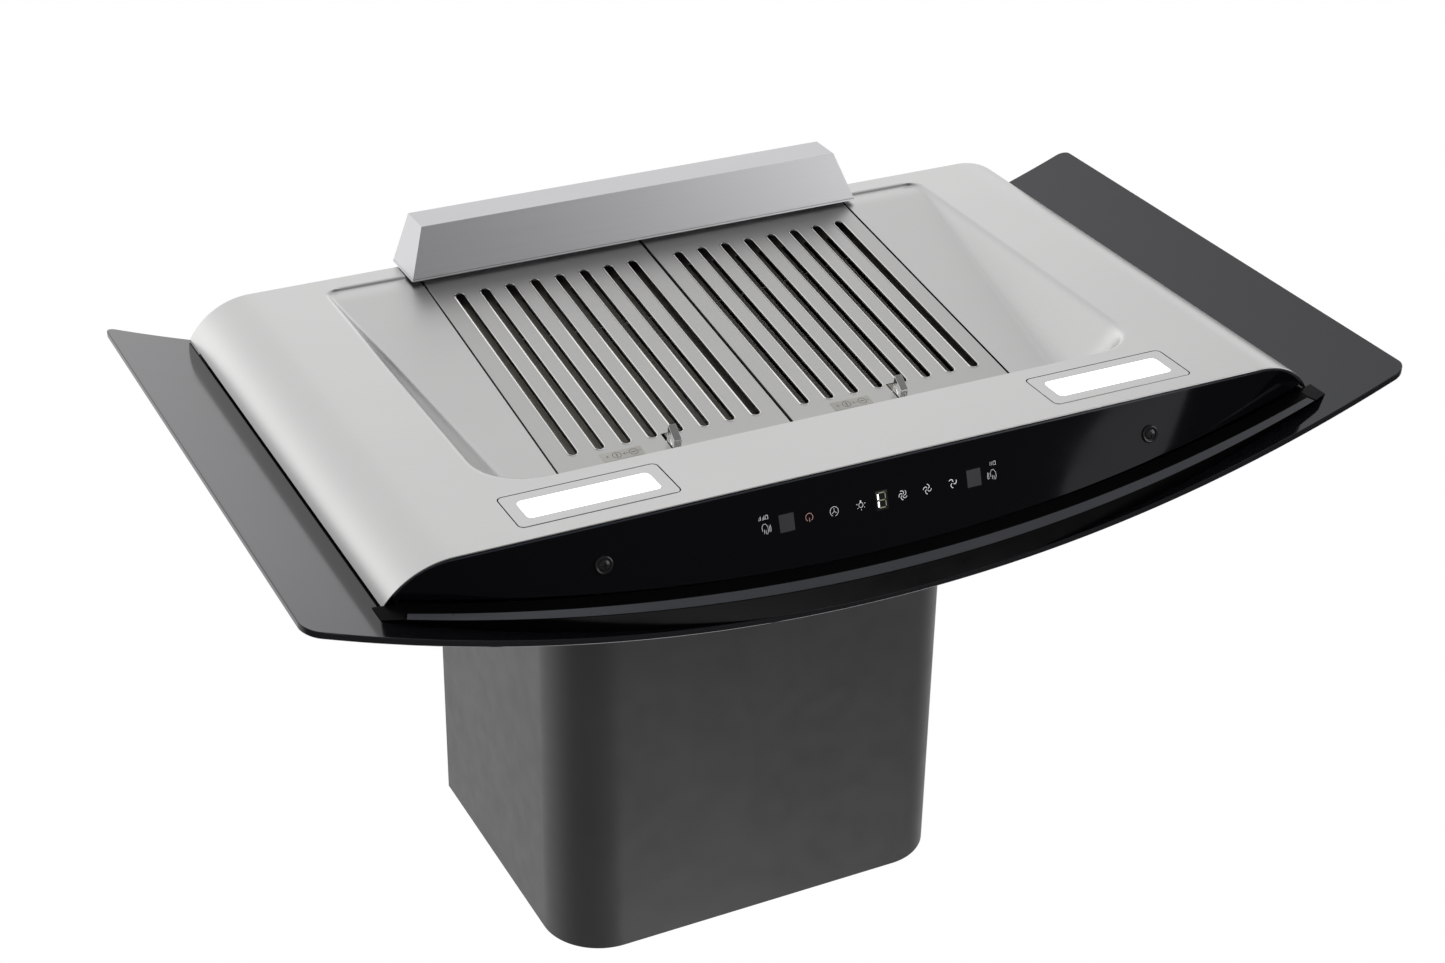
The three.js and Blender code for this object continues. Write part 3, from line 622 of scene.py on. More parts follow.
# Materials of the carried-over CAD nodes: by node where it is named here, else by slot.
NODE_MATERIALS = {
    # The filter frames take the painted-shade steel, which darkens what shows through the slots and seams.
    "filter_frame_left": SHADE_DARK_STEEL,
    "filter_frame_right": SHADE_DARK_STEEL,
    "filter_baffle_left": BAFFLE_STEEL,
    "filter_baffle_right": BAFFLE_STEEL,
}
SLOT_MATERIALS = {
    "canopy_glass": GLASS_BLACK,
    "stainless": STEEL,
    "filter_steel": FILTER_STEEL,
    "shaft_steel": SHAFT_STEEL,
    "galvanised": GALVANISED,
    "black_metal": BLACK_METAL,
    "cover_paint": COVER_PAINT,
    "panel_gloss": PANEL_GLOSS,
    "dark_plastic": PLASTIC,
    "circuit_board": BOARD,
    "lamp_lens": LENS,
    "aluminium": ALUMINIUM,
    "rubber": RUBBER,
    "screw_black": SCREW_BLACK,
}


# ---- canopy, body
def glass_canopy():
    """Bent glass plate with round corners, pencil edges and a hole for the blower."""
    under = GLASS_RADIUS - GLASS_T
    xs = span(-GLASS_HALF - 1, GLASS_HALF + 1, 110)
    band = [(x, arc_height(under, x)) for x in xs]
    band += [(x, arc_height(GLASS_RADIUS, x)) for x in reversed(xs)]
    glass = prism("glass_canopy_bent", band, GLASS_FRONT - 1, GLASS_BACK + 1, along_y)
    corners = rounded(-GLASS_HALF, GLASS_HALF, GLASS_FRONT, GLASS_BACK, *GLASS_CORNERS, steps=10)
    carve(glass, prism("plan", corners, *GLASS_SPAN, upright), "INTERSECT")
    box_low, box_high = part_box("blower_box")
    half = box_high.x / MM + BLOWER_ROOM
    front = (box_low.y - shell_high.y) / MM - BLOWER_ROOM
    back = (box_high.y - shell_high.y) / MM + BLOWER_ROOM
    carve(glass, prism("hole", rounded(-half, half, front, back, 6), *GLASS_SPAN, upright))
    soften(glass, 1.1, 3, 50)
    dress(glass, GLASS_BLACK, "root", "canopy_glass", "glass_canopy")


def skin_columns():
    """Where the skin's mesh lines cross X, closer together over the basin's sides."""
    shoulder = math.asin((BODY_HALF - FLAT_HALF) / SHOULDER_R)
    half = (
        span(0, OPENING_HALF, 16)
        + span(OPENING_HALF, BASIN_BEND, 64)[1:]
        + span(BASIN_BEND, FLAT_HALF, 8)[1:]
        + [FLAT_HALF + SHOULDER_R * math.sin(a) for a in span(0, shoulder, 16)[1:]]
    )
    return [-x for x in reversed(half[1:])] + half


def skin_rows():
    """The same along Y: close together at the fold, the basin's front and the opening."""
    return (
        [BODY_FRONT + FOLD_R]
        + span(BODY_FRONT + FOLD_R + 0.3, -386, 8)
        + span(-386, OPENING_FRONT, 26)[1:]
        + span(OPENING_FRONT, -355, 12)[1:]
        + span(-355, OPENING_BACK, 90)[1:]
        + span(OPENING_BACK, -17, 24)[1:]
        + span(-17, 0, 4)[1:]
    )


def body_shell():
    """Stainless skin with rolled shoulders, the pressed basin and a folded front edge."""
    columns, lines = skin_columns(), skin_rows()

    def point(x, y):
        rise = skin_height(x)
        near_front = max(1 - (y - BODY_FRONT) / LEAN_RUN, 0)
        return (x, y + FRONT_LEAN * rise * near_front, rise + basin_height(x, y))

    def fold(x, angle):
        px, py, pz = point(x, BODY_FRONT + FOLD_R)
        return (px, py - FOLD_R * math.sin(angle), pz + FOLD_R * (1 - math.cos(angle)))

    lip = [[fold(x, a) for x in columns] for a in (math.pi / 2, math.pi / 3, math.pi / 6)]
    rows = lip + [[point(x, y) for x in columns] for y in lines]
    ys = [BODY_FRONT] * len(lip) + lines

    def keep(i, j):
        x = (columns[j] + columns[j + 1]) / 2
        y = (ys[i] + ys[i + 1]) / 2
        return abs(x) > OPENING_HALF or not OPENING_FRONT < y < OPENING_BACK

    skin = grid("body_skin", rows, keep)
    face_down(skin.data)
    thicken(skin, SKIN_T)
    for side, _ in SIDES:
        hole = about(side * LAMP_X, LAMP_Y, LAMP_FRAME, LAMP_CORNER, -LAMP_GAP)
        carve(skin, prism("lamp_hole", hole, -3, 3, upright))
    dress(skin, STEEL, "root", "stainless", "body_shell")


def rim_point(k, y, t, out=0):
    """k runs from -1 to 1 along the rim, t from 0 on its shelf to 1 on the glass."""
    x = k * (RIM_HALF[0] + (RIM_HALF[1] - RIM_HALF[0]) * t)
    u2 = (x / ARCH_UNIT) ** 2
    low = RIM_SHELF - RIM_ARCH * u2
    return (x, y + RIM_BOW * u2, low + t * (arc_height(FRAME_TOP, x) - low) + out)


def front_rim():
    """Black rim: shelf, light-catching chamfer, then a face up to the glass; y and t."""
    section = [(-474, -0.11), (-486.6, -0.03), (-493.3, 0.15), (-488.5, 1), (-470, 1)]
    loops = [[rim_point(k, y, t) for y, t in section] for k in span(-1, 1, 96)]
    rim = loft("front_rim_bar", loops, caps=True)
    soften(rim, 0.4, 2, 12)
    dress(rim, RIM_BLACK, "root", "black_metal", "front_rim")


def rim_reflection_strip():
    """Painted reflection: a lighter satin grey strip on the rim's chamfer, standing in for the pale
    surroundings reflected in the black rim; y, share of the rim's height, offset in z.
    """
    strip = [(-486.9, -0.022, 0), (-493.0, 0.142, 0), (-493.15, 0.142, -0.22), (-487.05, -0.022, -0.22)]
    steps = span(-REFLECTION_STRIP_REACH, REFLECTION_STRIP_REACH, 96)
    loops = [[rim_point(k, y, t, out) for y, t, out in strip] for k in steps]
    dress(loft("rim_reflection_strip", loops, caps=True), REFLECTION_GREY, "root", "black_metal")


# ---- control panel
def control_panel():
    """Gloss black touch panel: straight lower edge, arched upper edge."""
    loops = []
    for x in span(-PANEL_HALF, PANEL_HALF, 96):
        front = [panel_point(x, w) for w in span(0, 1, 12)]
        loops.append(front + [(px, py + PANEL_T, pz) for px, py, pz in reversed(front)])
    panel = loft("control_panel_gloss", loops, caps=True)
    soften(panel, 0.5, 3, 50)
    dress(panel, PANEL_GLOSS, "root", "panel_gloss", "control_panel")


def panel_edge_highlight_strip():
    """Painted highlight: a dark blue-grey strip where the panel meets the steel, standing in for the light
    caught by the panel's edge.
    """
    section = ((0, -0.2), (0, 0.14), (1.2, 0.14), (1.2, -0.2))
    loops = []
    for x in span(-PANEL_HALF + 1, PANEL_HALF - 1, 96):
        z = panel_point(x, 0)[2]
        loops.append([(x, z + up, lift) for up, lift in section])
    dress(loft("panel_edge_highlight_strip", loops, on_panel, caps=True), EDGE_HIGHLIGHT_NAVY, "root", "panel_gloss")


def ribbon(points, width, closed=False):
    """Left and right edges of a stroke of even width, with mitred joints."""
    n = len(points)
    left, right = [], []
    for i, (x, z) in enumerate(points):
        before = points[i - 1] if i or closed else points[i]
        after = points[(i + 1) % n] if i < n - 1 or closed else points[i]
        tangent = Vector((after[0] - before[0], after[1] - before[1])).normalized()
        side = Vector((-tangent.y, tangent.x)) * width / 2
        left.append((x + side.x, z + side.y))
        right.append((x - side.x, z - side.y))
    return left, right


def mark(name, strokes, material, body="root", slot="panel_gloss", place=on_panel, lift=0.08):
    """A printed mark: strokes of (points, width, closed), lying on a surface."""
    points, faces = [], []
    for line, width, closed in strokes:
        left, right = ribbon(line, width, closed)
        n, base = len(line), len(points)
        points += [(x, z, lift) for x, z in left + right]
        for i in range(n if closed else n - 1):
            k = (i + 1) % n
            faces.append((base + i, base + k, base + n + k, base + n + i))
    dress(make(name, points, faces, place), material, body, slot)


def patch(name, outline, material, place=on_panel, lift=0.06, body="root", slot="panel_gloss"):
    """A thin flush area, such as a window, label or display."""
    obj = loft(name, [[(u, v, w) for u, v in outline] for w in (0.0, lift)], place, caps=True)
    dress(obj, material, body, slot)


def stroke(points, width):
    return (points, width, False)


def bar(x0, z0, x1, z1, width):
    return stroke([(x0, z0), (x1, z1)], width)


def circle(cx, cz, r, start=0.0, end=360.0, steps=28):
    return arc(cx, cz, r, math.radians(start), math.radians(end), steps)


def ring_mark(cx, cz, r, width, steps=28):
    return (circle(cx, cz, r, steps=steps)[:-1], width, True)


def fan_strokes(cx, cz, blades, r=3.5):
    """Fan symbol: each blade is a comma sweeping round from the middle."""
    strokes = []
    for i in range(blades):
        turn = 2 * math.pi * i / blades + 0.4
        points = []
        for t in span(0, 1, 7):
            radius, a = 0.7 + (r - 0.7) * t**0.8, turn + 1.15 * t * t
            points.append((cx + radius * math.cos(a), cz + radius * math.sin(a)))
        strokes.append(stroke(points, 0.62 if blades == 3 else 0.5))
    return strokes


def hand_strokes(cx, cz, side):
    """Open hand seen from its edge, with two small wave marks."""
    palm = [(-1.6, 3.8), (-2.6, 1.4), (-2.3, -1.6), (-0.8, -3.6), (1.1, -3.6), (2.2, -1.6), (2.0, 1.2)]
    fingers = [[(-0.6, 3.4), (-0.8, 0.6)], [(0.7, 3.0), (0.5, 0.2)]]
    waves = [
        [(side * r * math.cos(a), 0.2 + 1.1 * r * math.sin(a)) for a in span(-0.5, 0.5, 5)]
        for r in (3.8, 4.8)
    ]
    lines = (palm, *fingers, *waves)
    return [stroke([(cx + x, cz + z) for x, z in line], 0.3) for line in lines]


# Strokes of the only letters drawn, for the generic words ON and OFF.
LETTERS = {
    "O": [[(0, 0), (1.9, 0), (1.9, 2.6), (0, 2.6), (0, 0)]],
    "F": [[(0, 0), (0, 2.6), (1.8, 2.6)], [(0, 1.4), (1.4, 1.4)]],
    "N": [[(0, 0), (0, 2.6), (1.9, 0), (1.9, 2.6)]],
}


def word(text, cx, z):
    """Plain stroke lettering, centred on cx."""
    pitch = 2.9
    x0 = cx - (pitch * len(text) - 1) / 2
    strokes = []
    for i, letter in enumerate(text):
        for line in LETTERS[letter]:
            strokes.append(stroke([(x0 + i * pitch + x, z + up) for x, up in line], 0.34))
    return strokes


def touch_symbols():
    """Power, timer, lamp, three fan speeds, and a hand with its word at each end."""
    z = PANEL_MID_Z
    stem = bar(POWER_X, z + 0.4, POWER_X, z + 3.2, 0.36)
    mark("symbol_power", [stroke(circle(POWER_X, z, 2.8, 125, 415), 0.34), stem], INK_WARM)
    x = TIMER_X
    hands = [bar(x, z, x + aside, z + up, 0.32) for aside, up in ((0, -2.4), (1.8, 1.3), (-1.8, 1.3))]
    mark("symbol_timer", [stroke(circle(x, z, 3.3, 100, 420), 0.32), *hands], INK)
    x = LAMP_SIGN_X
    rays = []
    for a in (math.radians(d) for d in (-15, 35, 90, 145, 195)):
        rays.append(stroke([(x + r * math.cos(a), z + r * math.sin(a)) for r in (2.8, 3.8)], 0.36))
    mark("symbol_lamp", [ring_mark(x, z, 1.7, 0.36), bar(x, z - 1.6, x, z - 3.2, 1.1), *rays], INK)
    for x, blades in FANS:
        mark(f"symbol_fan_{blades}", fan_strokes(x, z, blades), INK)
    for x, side, name in HANDS:
        mark(f"symbol_hand_{name}", hand_strokes(x, HAND_Z, side), INK)
        mark(f"symbol_{name}", word(name.upper(), x - side * 0.6, WORD_Z), INK)
    for x, name in SENSORS:
        patch(f"sensor_window_{name}", rounded(x - 6, x + 6, z - 6.5, z + 6.5, 0.4), WINDOW)


def display():
    """Seven-segment digit behind a small window; the right-hand segments are lit."""
    cx, cz, w, h = DIGIT_X, PANEL_MID_Z, 3.0, 5.2
    patch("display_window", rounded(cx - 5, cx + 5, cz - 7, cz + 7, 0.4), WINDOW)
    near, far = 0.6, h - 0.6
    lit = [bar(cx + w, cz + s * near, cx + w, cz + s * far, 1.3) for s in (-1, 1)]
    bars = [bar(cx - w + 0.7, cz + k * h, cx + w - 0.7, cz + k * h, 0.7) for k in (-1, 0, 1)]
    dim = [bar(cx - w, cz + s * near, cx - w, cz + s * far, 0.7) for s in (-1, 1)]
    mark("display_lit", lit, SEGMENT_LIT, lift=0.14)
    mark("display_dim", bars + dim, SEGMENT_OFF, lift=0.14)


def panel_screws():
    """Black pan-head screws with a cross recess, each in a dished cup."""
    cup = [(3.4, 0.02), (7.0, 0.02), (7.0, 0.7), (6.6, 1.5), (5.9, 1.9), (5.2, 1.7), (4.9, 1.0), (3.4, 0.8)]
    shank = [(0.02, -4), (2.5, -4), (2.5, 0.8)]
    crown = [(4.2, 0.85), (4.3, 1.3), (3.9, 1.9), (3.0, 2.35), (1.6, 2.6), (0.02, 2.65)]
    for side, label in SIDES:
        centre = Vector(panel_point(side * SCREW_X, 0))
        top = Vector(panel_point(side * SCREW_X, 1))
        seat = centre + (top - centre) * ((PANEL_MID_Z - centre.z) / (top.z - centre.z))
        turn = Matrix.Rotation(SCREW_TILT, 3, "X")
        place = lambda p, seat=seat, turn=turn: world(seat + turn @ Vector(p))
        dish = turned(f"screw_cup_{label}", cup, 48, place)
        dress(dish, SCREW_BLACK, "root", "screw_black", f"panel_cup_{label}")
        screw = turned(f"screw_head_{label}", shank + crown, 40, place)
        for w, d in ((2.4, 0.45), (0.45, 2.4)):
            slot = [(-w, -d), (w, -d), (w, d), (-w, d)]
            carve(screw, prism("slot", slot, 1.2, 4, upright, place))
        dress(screw, SCREW_BLACK, "root", "screw_black", f"panel_screw_{label}")


# ---- lamps
def lamps():
    """Flush bezel with a soft inner edge, round an opal lens."""
    border = (LAMP_FRAME[0] - LAMP_LENS[0]) / 2
    outer = [(0, 1.6, 4), (0, 0.1, 4), (0.12, -0.08, 3.9), (0.4, -0.14, 3.7)]
    inner = [(-0.9, -0.14, 4), (-0.3, -0.05, 3.8), (-0.05, 0.25, 3.6), (-0.05, 1.6, 3.6)]
    bezel = outer + [(border + inset, z, r) for inset, z, r in inner]
    lens = [(0.35, 1.4), (0.35, 0.05), (0.8, -0.2), (2.2, -0.32), (6, -0.38)]
    for side, label in SIDES:
        x = side * LAMP_X

        def loop(size, inset, z, r):
            w, d = size[0] / 2 - inset, size[1] / 2 - inset
            return [(u, v, z) for u, v in rounded(x - w, x + w, LAMP_Y - d, LAMP_Y + d, r)]

        loops = [loop(LAMP_FRAME, i, z, r) for i, z, r in bezel]
        ring = loft(f"lamp_bezel_{label}", loops, wrap=True)
        dress(ring, STEEL, "root", "stainless", f"lamp_frame_{label}")
        loops = [loop(LAMP_LENS, i, z, max(LAMP_CORNER - i, 1)) for i, z in lens]
        diffuser = loft(f"lamp_diffuser_{label}", loops, caps=True)
        dress(diffuser, LENS, "root", "lamp_lens", f"lamp_lens_{label}")


# ---- filters
def slot_loop(x, offset, z, steps=10):
    """Round-ended outline of the slot at x, drawn out by offset."""
    r = SLOT_R + offset
    ends = arc(x, SLOT_FRONT + SLOT_R, r, -math.pi, 0, steps)
    ends += arc(x, SLOT_BACK - SLOT_R, r, 0, math.pi, steps)
    return [(u, v, z) for u, v in ends]


def slot_columns(side):
    middle = (SLOT_COUNT - 1) / 2
    return [side * FILTER_MID + (i - middle) * SLOT_PITCH for i in range(SLOT_COUNT)]


def filter_face(side, label):
    """Pressed face with a small round edge, eight slots and an opening for the latch tab."""
    mid = side * FILTER_MID
    edge = [(0.5, 0), (0.2, 0.06), (0.05, 0.2), (0, 0.45), (0, FACE_T)]
    bm = bmesh.new()
    flat_edges = []  # outlines of the flat face, filled in at the end

    def add_band(loops):
        rings = [[bm.verts.new(on_filter(p)) for p in loop] for loop in loops]
        n = len(rings[0])
        for a, b in zip(rings, rings[1:]):
            for j in range(n):
                bm.faces.new((a[j], a[(j + 1) % n], b[(j + 1) % n], b[j]))
        first = rings[0]
        for j in range(n):
            found = bm.edges.get((first[j], first[(j + 1) % n]))
            flat_edges.append(found or bm.edges.new((first[j], first[(j + 1) % n])))

    for x in slot_columns(side):
        add_band([slot_loop(x, 0.6, z) for z in (0, FACE_T)])
    centre = mid + TAB_SHIFT
    hole_back = TAB_FRONT + TAB_LENGTH + TAB_TRAVEL + 0.5
    hole = rounded(centre - 4.6, centre + 4, TAB_FRONT - 1.5, hole_back, 1, steps=3)
    add_band([[(u, v, z) for u, v in hole] for z in (0, FACE_T)])
    border = []
    for inset, z in edge:
        half = FILTER_HALF - SEAM - inset
        corners = rounded(mid - half, mid + half, -FILTER_L + 0.5 + inset, FILTER_LIP - inset, 1.6)
        border.append([(u, v, z) for u, v in corners])
    add_band(border)
    bmesh.ops.triangle_fill(bm, use_beauty=True, use_dissolve=False, edges=flat_edges)
    bmesh.ops.recalc_face_normals(bm, faces=bm.faces)
    mesh = bpy.data.meshes.new(f"filter_face_pressed_{label}")
    bm.to_mesh(mesh)
    bm.free()
    face_down(mesh)
    face = linked(mesh.name, mesh)
    dress(face, FILTER_STEEL, f"filter_{label}", "filter_steel", f"filter_face_{label}")


def slot_beads(side, label):
    """Polished rolled rim round each slot, standing a little proud of the face; its extra-bright steel colour
    is painted highlight.
    """
    section = [(1.1, 0.15), (1.05, -0.1), (0.8, -0.45), (0.45, -0.55), (0.1, -0.35)]
    section += [(0, 0.1), (0, 0.9), (0.4, 0.9), (0.5, 0.6)]
    beads = []
    for x in slot_columns(side):
        loops = [slot_loop(x, offset, z, 14) for offset, z in section]
        beads.append(loft("bead", loops, on_filter, wrap=True))
    dress(joined(f"slot_beads_{label}", beads), BRIGHT_HIGHLIGHT_STEEL, f"filter_{label}", "filter_steel")


def latch(side, label):
    """Sliding bolt with a wedge-shaped finger tab, dished on its sides and ribbed in front."""
    mid = side * FILTER_MID
    centre = mid + TAB_SHIFT
    front, back = TAB_FRONT, TAB_FRONT + TAB_LENGTH
    profile = [(front, 2), (front, -TAB_DROP[0]), (back, -TAB_DROP[1]), (back, 2)]
    tab = prism("tab", profile, centre - TAB_HALF, centre + TAB_HALF, along_x, on_filter)
    soften(tab, 0.35, 3, 30)
    bowl = ((1.1, 0.3), (1.0, 0.6), (0.7, 0.84), (0.3, 0.96), (0, 1.0), (-1, 1.04))
    long, high, at_y, at_z, tilt = 4.4, 3.4, front + 6.8, -5.4, 0.4
    for dish in (-1, 1):
        loops = []
        for depth, size in bowl:
            x = centre + dish * (TAB_HALF - depth)
            angles = span(0, 2 * math.pi, 28)[:-1]
            turn = [(size * long * math.cos(a), size * high * math.sin(a)) for a in angles]
            loops.append([(x, at_y + u, at_z - tilt * u + v) for u, v in turn])
        carve(tab, loft("dish", loops, on_filter, caps=True))
    pieces = [tab]
    for x in (-2.2, -0.75, 0.75, 2.2):
        rib = rounded(centre + x - 0.3, centre + x + 0.3, front - 0.4, front + 0.3, 0.12, steps=3)
        pieces.append(prism("rib", rib, -TAB_DROP[0] + 0.6, 1.5, upright, on_filter))
    half, bolt_front, bolt_back = SLIDER
    plan = rounded(mid - half, mid + half, bolt_front, bolt_back, 2)
    pieces.append(soften(prism("slider", plan, 1.6, 4.4, upright, on_filter), 0.3))
    name = f"latch_{label}"
    # The tab is polished steel, with painted highlight in its raised colour.
    dress(joined(f"latch_tab_{label}", pieces), BRIGHT_HIGHLIGHT_STEEL, name, "filter_steel", name)
    # Painted shade: a dark plastic pad in the latch opening just in front of the tab's foot.
    shadow = rounded(centre - 4.4, centre + 3.8, front - 1.3, front - 0.5, 0.3)
    pad = prism(f"latch_shade_pad_{label}", shadow, 0.2, 0.9, upright, on_filter)
    dress(soften(pad, 0.15), PLASTIC, f"filter_{label}", "dark_plastic")


def gap_shade_strips():
    """Painted shade: thin black strips set in the filter opening and in the gaps round the lamps, so that the
    gaps read dark.
    """
    loops = []
    for inset, rise in ((0.02, 0.1), (0.25, 0.1), (0.25, 1.6), (0.02, 1.6)):
        half, front, back = OPENING_HALF - inset, OPENING_FRONT + inset, OPENING_BACK - inset
        plan = [(-half, front), (half, front), (half, back), (-half, back)]
        loops.append([(x, y, BASIN_SLOPE * (BASIN_BACK - y) + rise) for x, y in plan])
    dress(loft("filter_opening_shade_strip", loops, wrap=True), GAP_SHADE_BLACK, "root", "rubber")
    for side, label in SIDES:
        loops = []
        for inset, z in ((0.03 - LAMP_GAP, 0.3), (0.03 - LAMP_GAP, 1.1), (-0.03, 1.1), (-0.03, 0.3)):
            plan = about(side * LAMP_X, LAMP_Y, LAMP_FRAME, LAMP_CORNER, inset)
            loops.append([(u, v, z) for u, v in plan])
        dress(loft(f"lamp_gap_shade_strip_{label}", loops, wrap=True), GAP_SHADE_BLACK, "root", "rubber")


def filter_label(side, label):
    """Small plate with generic open and close marks."""
    offset, width, y0, y1 = LABEL_AT
    x0 = side * FILTER_MID + offset
    y = (y0 + y1) / 2

    def place(p):
        return on_filter((p[0], p[1], -p[2]))

    body = f"filter_{label}"
    plate = rounded(x0, x0 + width, y0, y1, 0.6)
    patch(f"filter_label_{label}", plate, LABEL, place, 0.12, body, "filter_steel")
    arrows = [stroke([(x, y - 1.2), (x + 1.4, y), (x, y + 1.2)], 0.5) for x in (x0 + 14.5, x0 + 28.5)]
    lines = [bar(x0 + 1.5, y, x0 + 3.2, y, 0.4), bar(x0 + 12, y, x0 + 14, y, 0.4)]
    ovals = [ring_mark(x0 + x, y, 3.4, 0.4, steps=24) for x in (7.6, 21.5)]
    bars = [bar(x0 + 5.4, y, x0 + 9.8, y, 0.7), bar(x0 + 21.5, y - 2.2, x0 + 21.5, y + 2.2, 0.7)]
    marks = arrows + lines + ovals + bars
    mark(f"filter_label_marks_{label}", marks, LABEL_INK, body, "filter_steel", place, 0.2)


# ---- oil tray
def oil_tray():
    """Folded tray with a hem along its rim and sharp, slightly eased bends."""

    def level(z, out):
        down = (TRAY_TOP - z) / (TRAY_TOP - TRAY_BOTTOM)
        half, front, back = (a + (b - a) * down for a, b in (TRAY_HALF, TRAY_FRONT, TRAY_REAR))
        half, front, back = half + out, front - out, back + out
        return [(-half, front, z), (half, front, z), (half, back, z), (-half, back, z)]

    hem = TRAY_TOP - TRAY_HEM
    inside = [(TRAY_BOTTOM + 1, -1.0), (TRAY_TOP, -1.0)]
    outside = [(TRAY_TOP, 0.15), (hem, 0.15), (hem, -0.3), (hem - 0.4, -0.3), (hem - 0.4, 0.0)]
    loops = [level(z, out) for z, out in (*inside, *outside, (TRAY_BOTTOM, 0.0))]
    tray = loft("oil_tray_folded", loops, caps=True)
    soften(tray, 0.25, 2, 30)
    dress(tray, TRAY_STEEL, "oil_tray", "stainless", "oil_tray")


# ---- chimney covers
def cover(name, inset, bottom, top, body, node):
    """Three-sided cover with large round front corners."""
    half = COVER_HALF - inset
    cx, cy = COVER_HALF - COVER_CORNER, COVER_FRONT + COVER_CORNER
    r = COVER_CORNER - inset
    q = math.pi / 2
    line = (
        [(-half, y) for y in span(COVER_BACK, cy, 6)[:-1]]
        + arc(-cx, cy, r, 2 * q, 3 * q, 20)
        + [(x, COVER_FRONT + inset) for x in span(-cx, cx, 24)[1:-1]]
        + arc(cx, cy, r, 3 * q, 4 * q, 20)
        + [(half, y) for y in span(cy, COVER_BACK, 6)[1:]]
    )
    rows = [[(x, y, bottom(x)) for x, y in line]]
    rows += [[(x, y, z) for x, y in line] for z in span(COVER_STRAIGHT, top, 8)]
    sheet = grid(name, rows)
    centre = Vector(world((0, (COVER_FRONT + COVER_BACK) / 2, 300)))
    if sum((p.center - centre).dot(p.normal) for p in sheet.data.polygons) < 0:
        sheet.data.flip_normals()
    thicken(sheet, COVER_T)
    soften(sheet, 0.25, 2, 50)
    dress(sheet, COVER_PAINT, body, "cover_paint", node)


def chimney():
    """Lower cover standing on the glass, and the upper one inside it."""

    def on_glass(x):
        return arc_height(GLASS_RADIUS + GAP, x)

    def level(x):
        return UPPER_SPAN[0]

    cover("chimney_cover_lower_sheet", 0, on_glass, COVER_TOP, "root", "chimney_cover_lower")
    node = "chimney_cover_upper"
    cover(f"{node}_sheet", UPPER_INSET, level, UPPER_SPAN[1], "chimney_upper", node)


# ---- spigot and screws
def outlet_collar():
    """Duct spigot: flange, eased foot, two stiffening beads and a rolled lip."""
    low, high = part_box("outlet_collar")
    middle = (low + high) / 2
    flange, top = (high.x - low.x) / 2 / MM, (high.z - low.z) / MM
    tube = flange - 15
    bead = [(tube, -2), (tube + 0.7, -1), (tube + 0.9, 0), (tube + 0.7, 1), (tube, 2)]
    beads = [(r, z + up) for z in (top * 0.45, top * 0.7) for r, up in bead]
    outside = [(flange, 0), (flange, 1.2), (tube + 1.6, 1.2), (tube + 0.5, 1.7), (tube, 3)]
    rolled = ((0, -1.4), (0.6, -0.9), (0.6, -0.3), (0.2, 0), (-1.2, 0))
    lip = [(tube + out, top + up) for out, up in rolled]
    profile = [(tube - 1.2, 0), *outside, *beads, *lip]

    def place(p):
        return (middle.x + p[0] * MM, middle.y + p[1] * MM, low.z + p[2] * MM)

    collar = turned("outlet_collar_smooth", profile, 96, place)
    dress(collar, PLASTIC, "root", "dark_plastic", "outlet_collar")


def rear_screws():
    """Pan-head screws that hold the blower box's back and the body's rear panel."""
    head = [(0.02, -0.2), (3.6, -0.2), (3.6, 0.5), (3.1, 1.4), (1.9, 1.9), (0.02, 2.0)]
    for node, inset, xs, zs in (
        ("blower_box", 8, (-1, -0.33, 0.33, 1), (-1, 1)),
        ("rear_panel", 14, (-0.84, -0.28, 0.28, 0.84), (-1,)),
    ):
        low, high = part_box(node)
        middle, half = (low + high) / 2, (high - low) / 2
        reach_x, reach_z = half.x - inset * MM, half.z - inset * MM
        heads = []
        for u in xs:
            for w in zs:
                at = (middle.x + u * reach_x, high.y, middle.z + w * reach_z)
                place = lambda p, at=at: (at[0] + p[0] * MM, at[1] + p[2] * MM, at[2] + p[1] * MM)
                screw = turned("head", head, 24, place)
                cross = [(-2, -0.35), (2, -0.35), (2, 0.35), (-2, 0.35)]
                carve(screw, prism("slot", cross, 1.2, 3, upright, place))
                heads.append(screw)
        dress(joined(f"screws_{node}", heads), SHAFT_STEEL, "root", "galvanised")


# ---- carried-over CAD
def carried_nodes():
    """Gives each CAD node its record slot's material and slightly eased edges."""
    for entry in frame["record"]["subparts"]:
        node = frame["nodes"][entry["node"]]
        material = NODE_MATERIALS.get(entry["node"], SLOT_MATERIALS[entry["material_slot"]])
        node.data.materials.clear()
        node.data.materials.append(material)
        weld = node.modifiers.new("weld", "WELD")
        weld.merge_threshold = 0.00001
        ease = node.modifiers.new("ease", "BEVEL")
        ease.width = 0.0003
        ease.segments = 2
        ease.limit_method = "ANGLE"
        ease.angle_limit = math.radians(40)


# ---- the studio
AIM = Vector((0, -0.25, -0.15))  # what the lights point at
FLOOR_Z = -1.9
FLOOR_HALF = 9
# Brightness of the surroundings by the sine of the height above the horizon.
SKY = ((-1, 0.5), (-0.76, 0.84), (-0.6, 0.88), (-0.5, 0.86), (-0.4, 1.0), (-0.2, 1.45), (0.3, 1.0), (1, 0.45))
LIGHTS = (  # name, place, size, watts
    ("key", (-2.6, -1.9, -0.9), (3.0, 2.2), 36),
    ("side", (2.4, -0.3, -0.6), (1.2, 1.6), 3),
    ("top", (-0.6, -0.8, 2.2), (1.6, 1.6), 28),
)


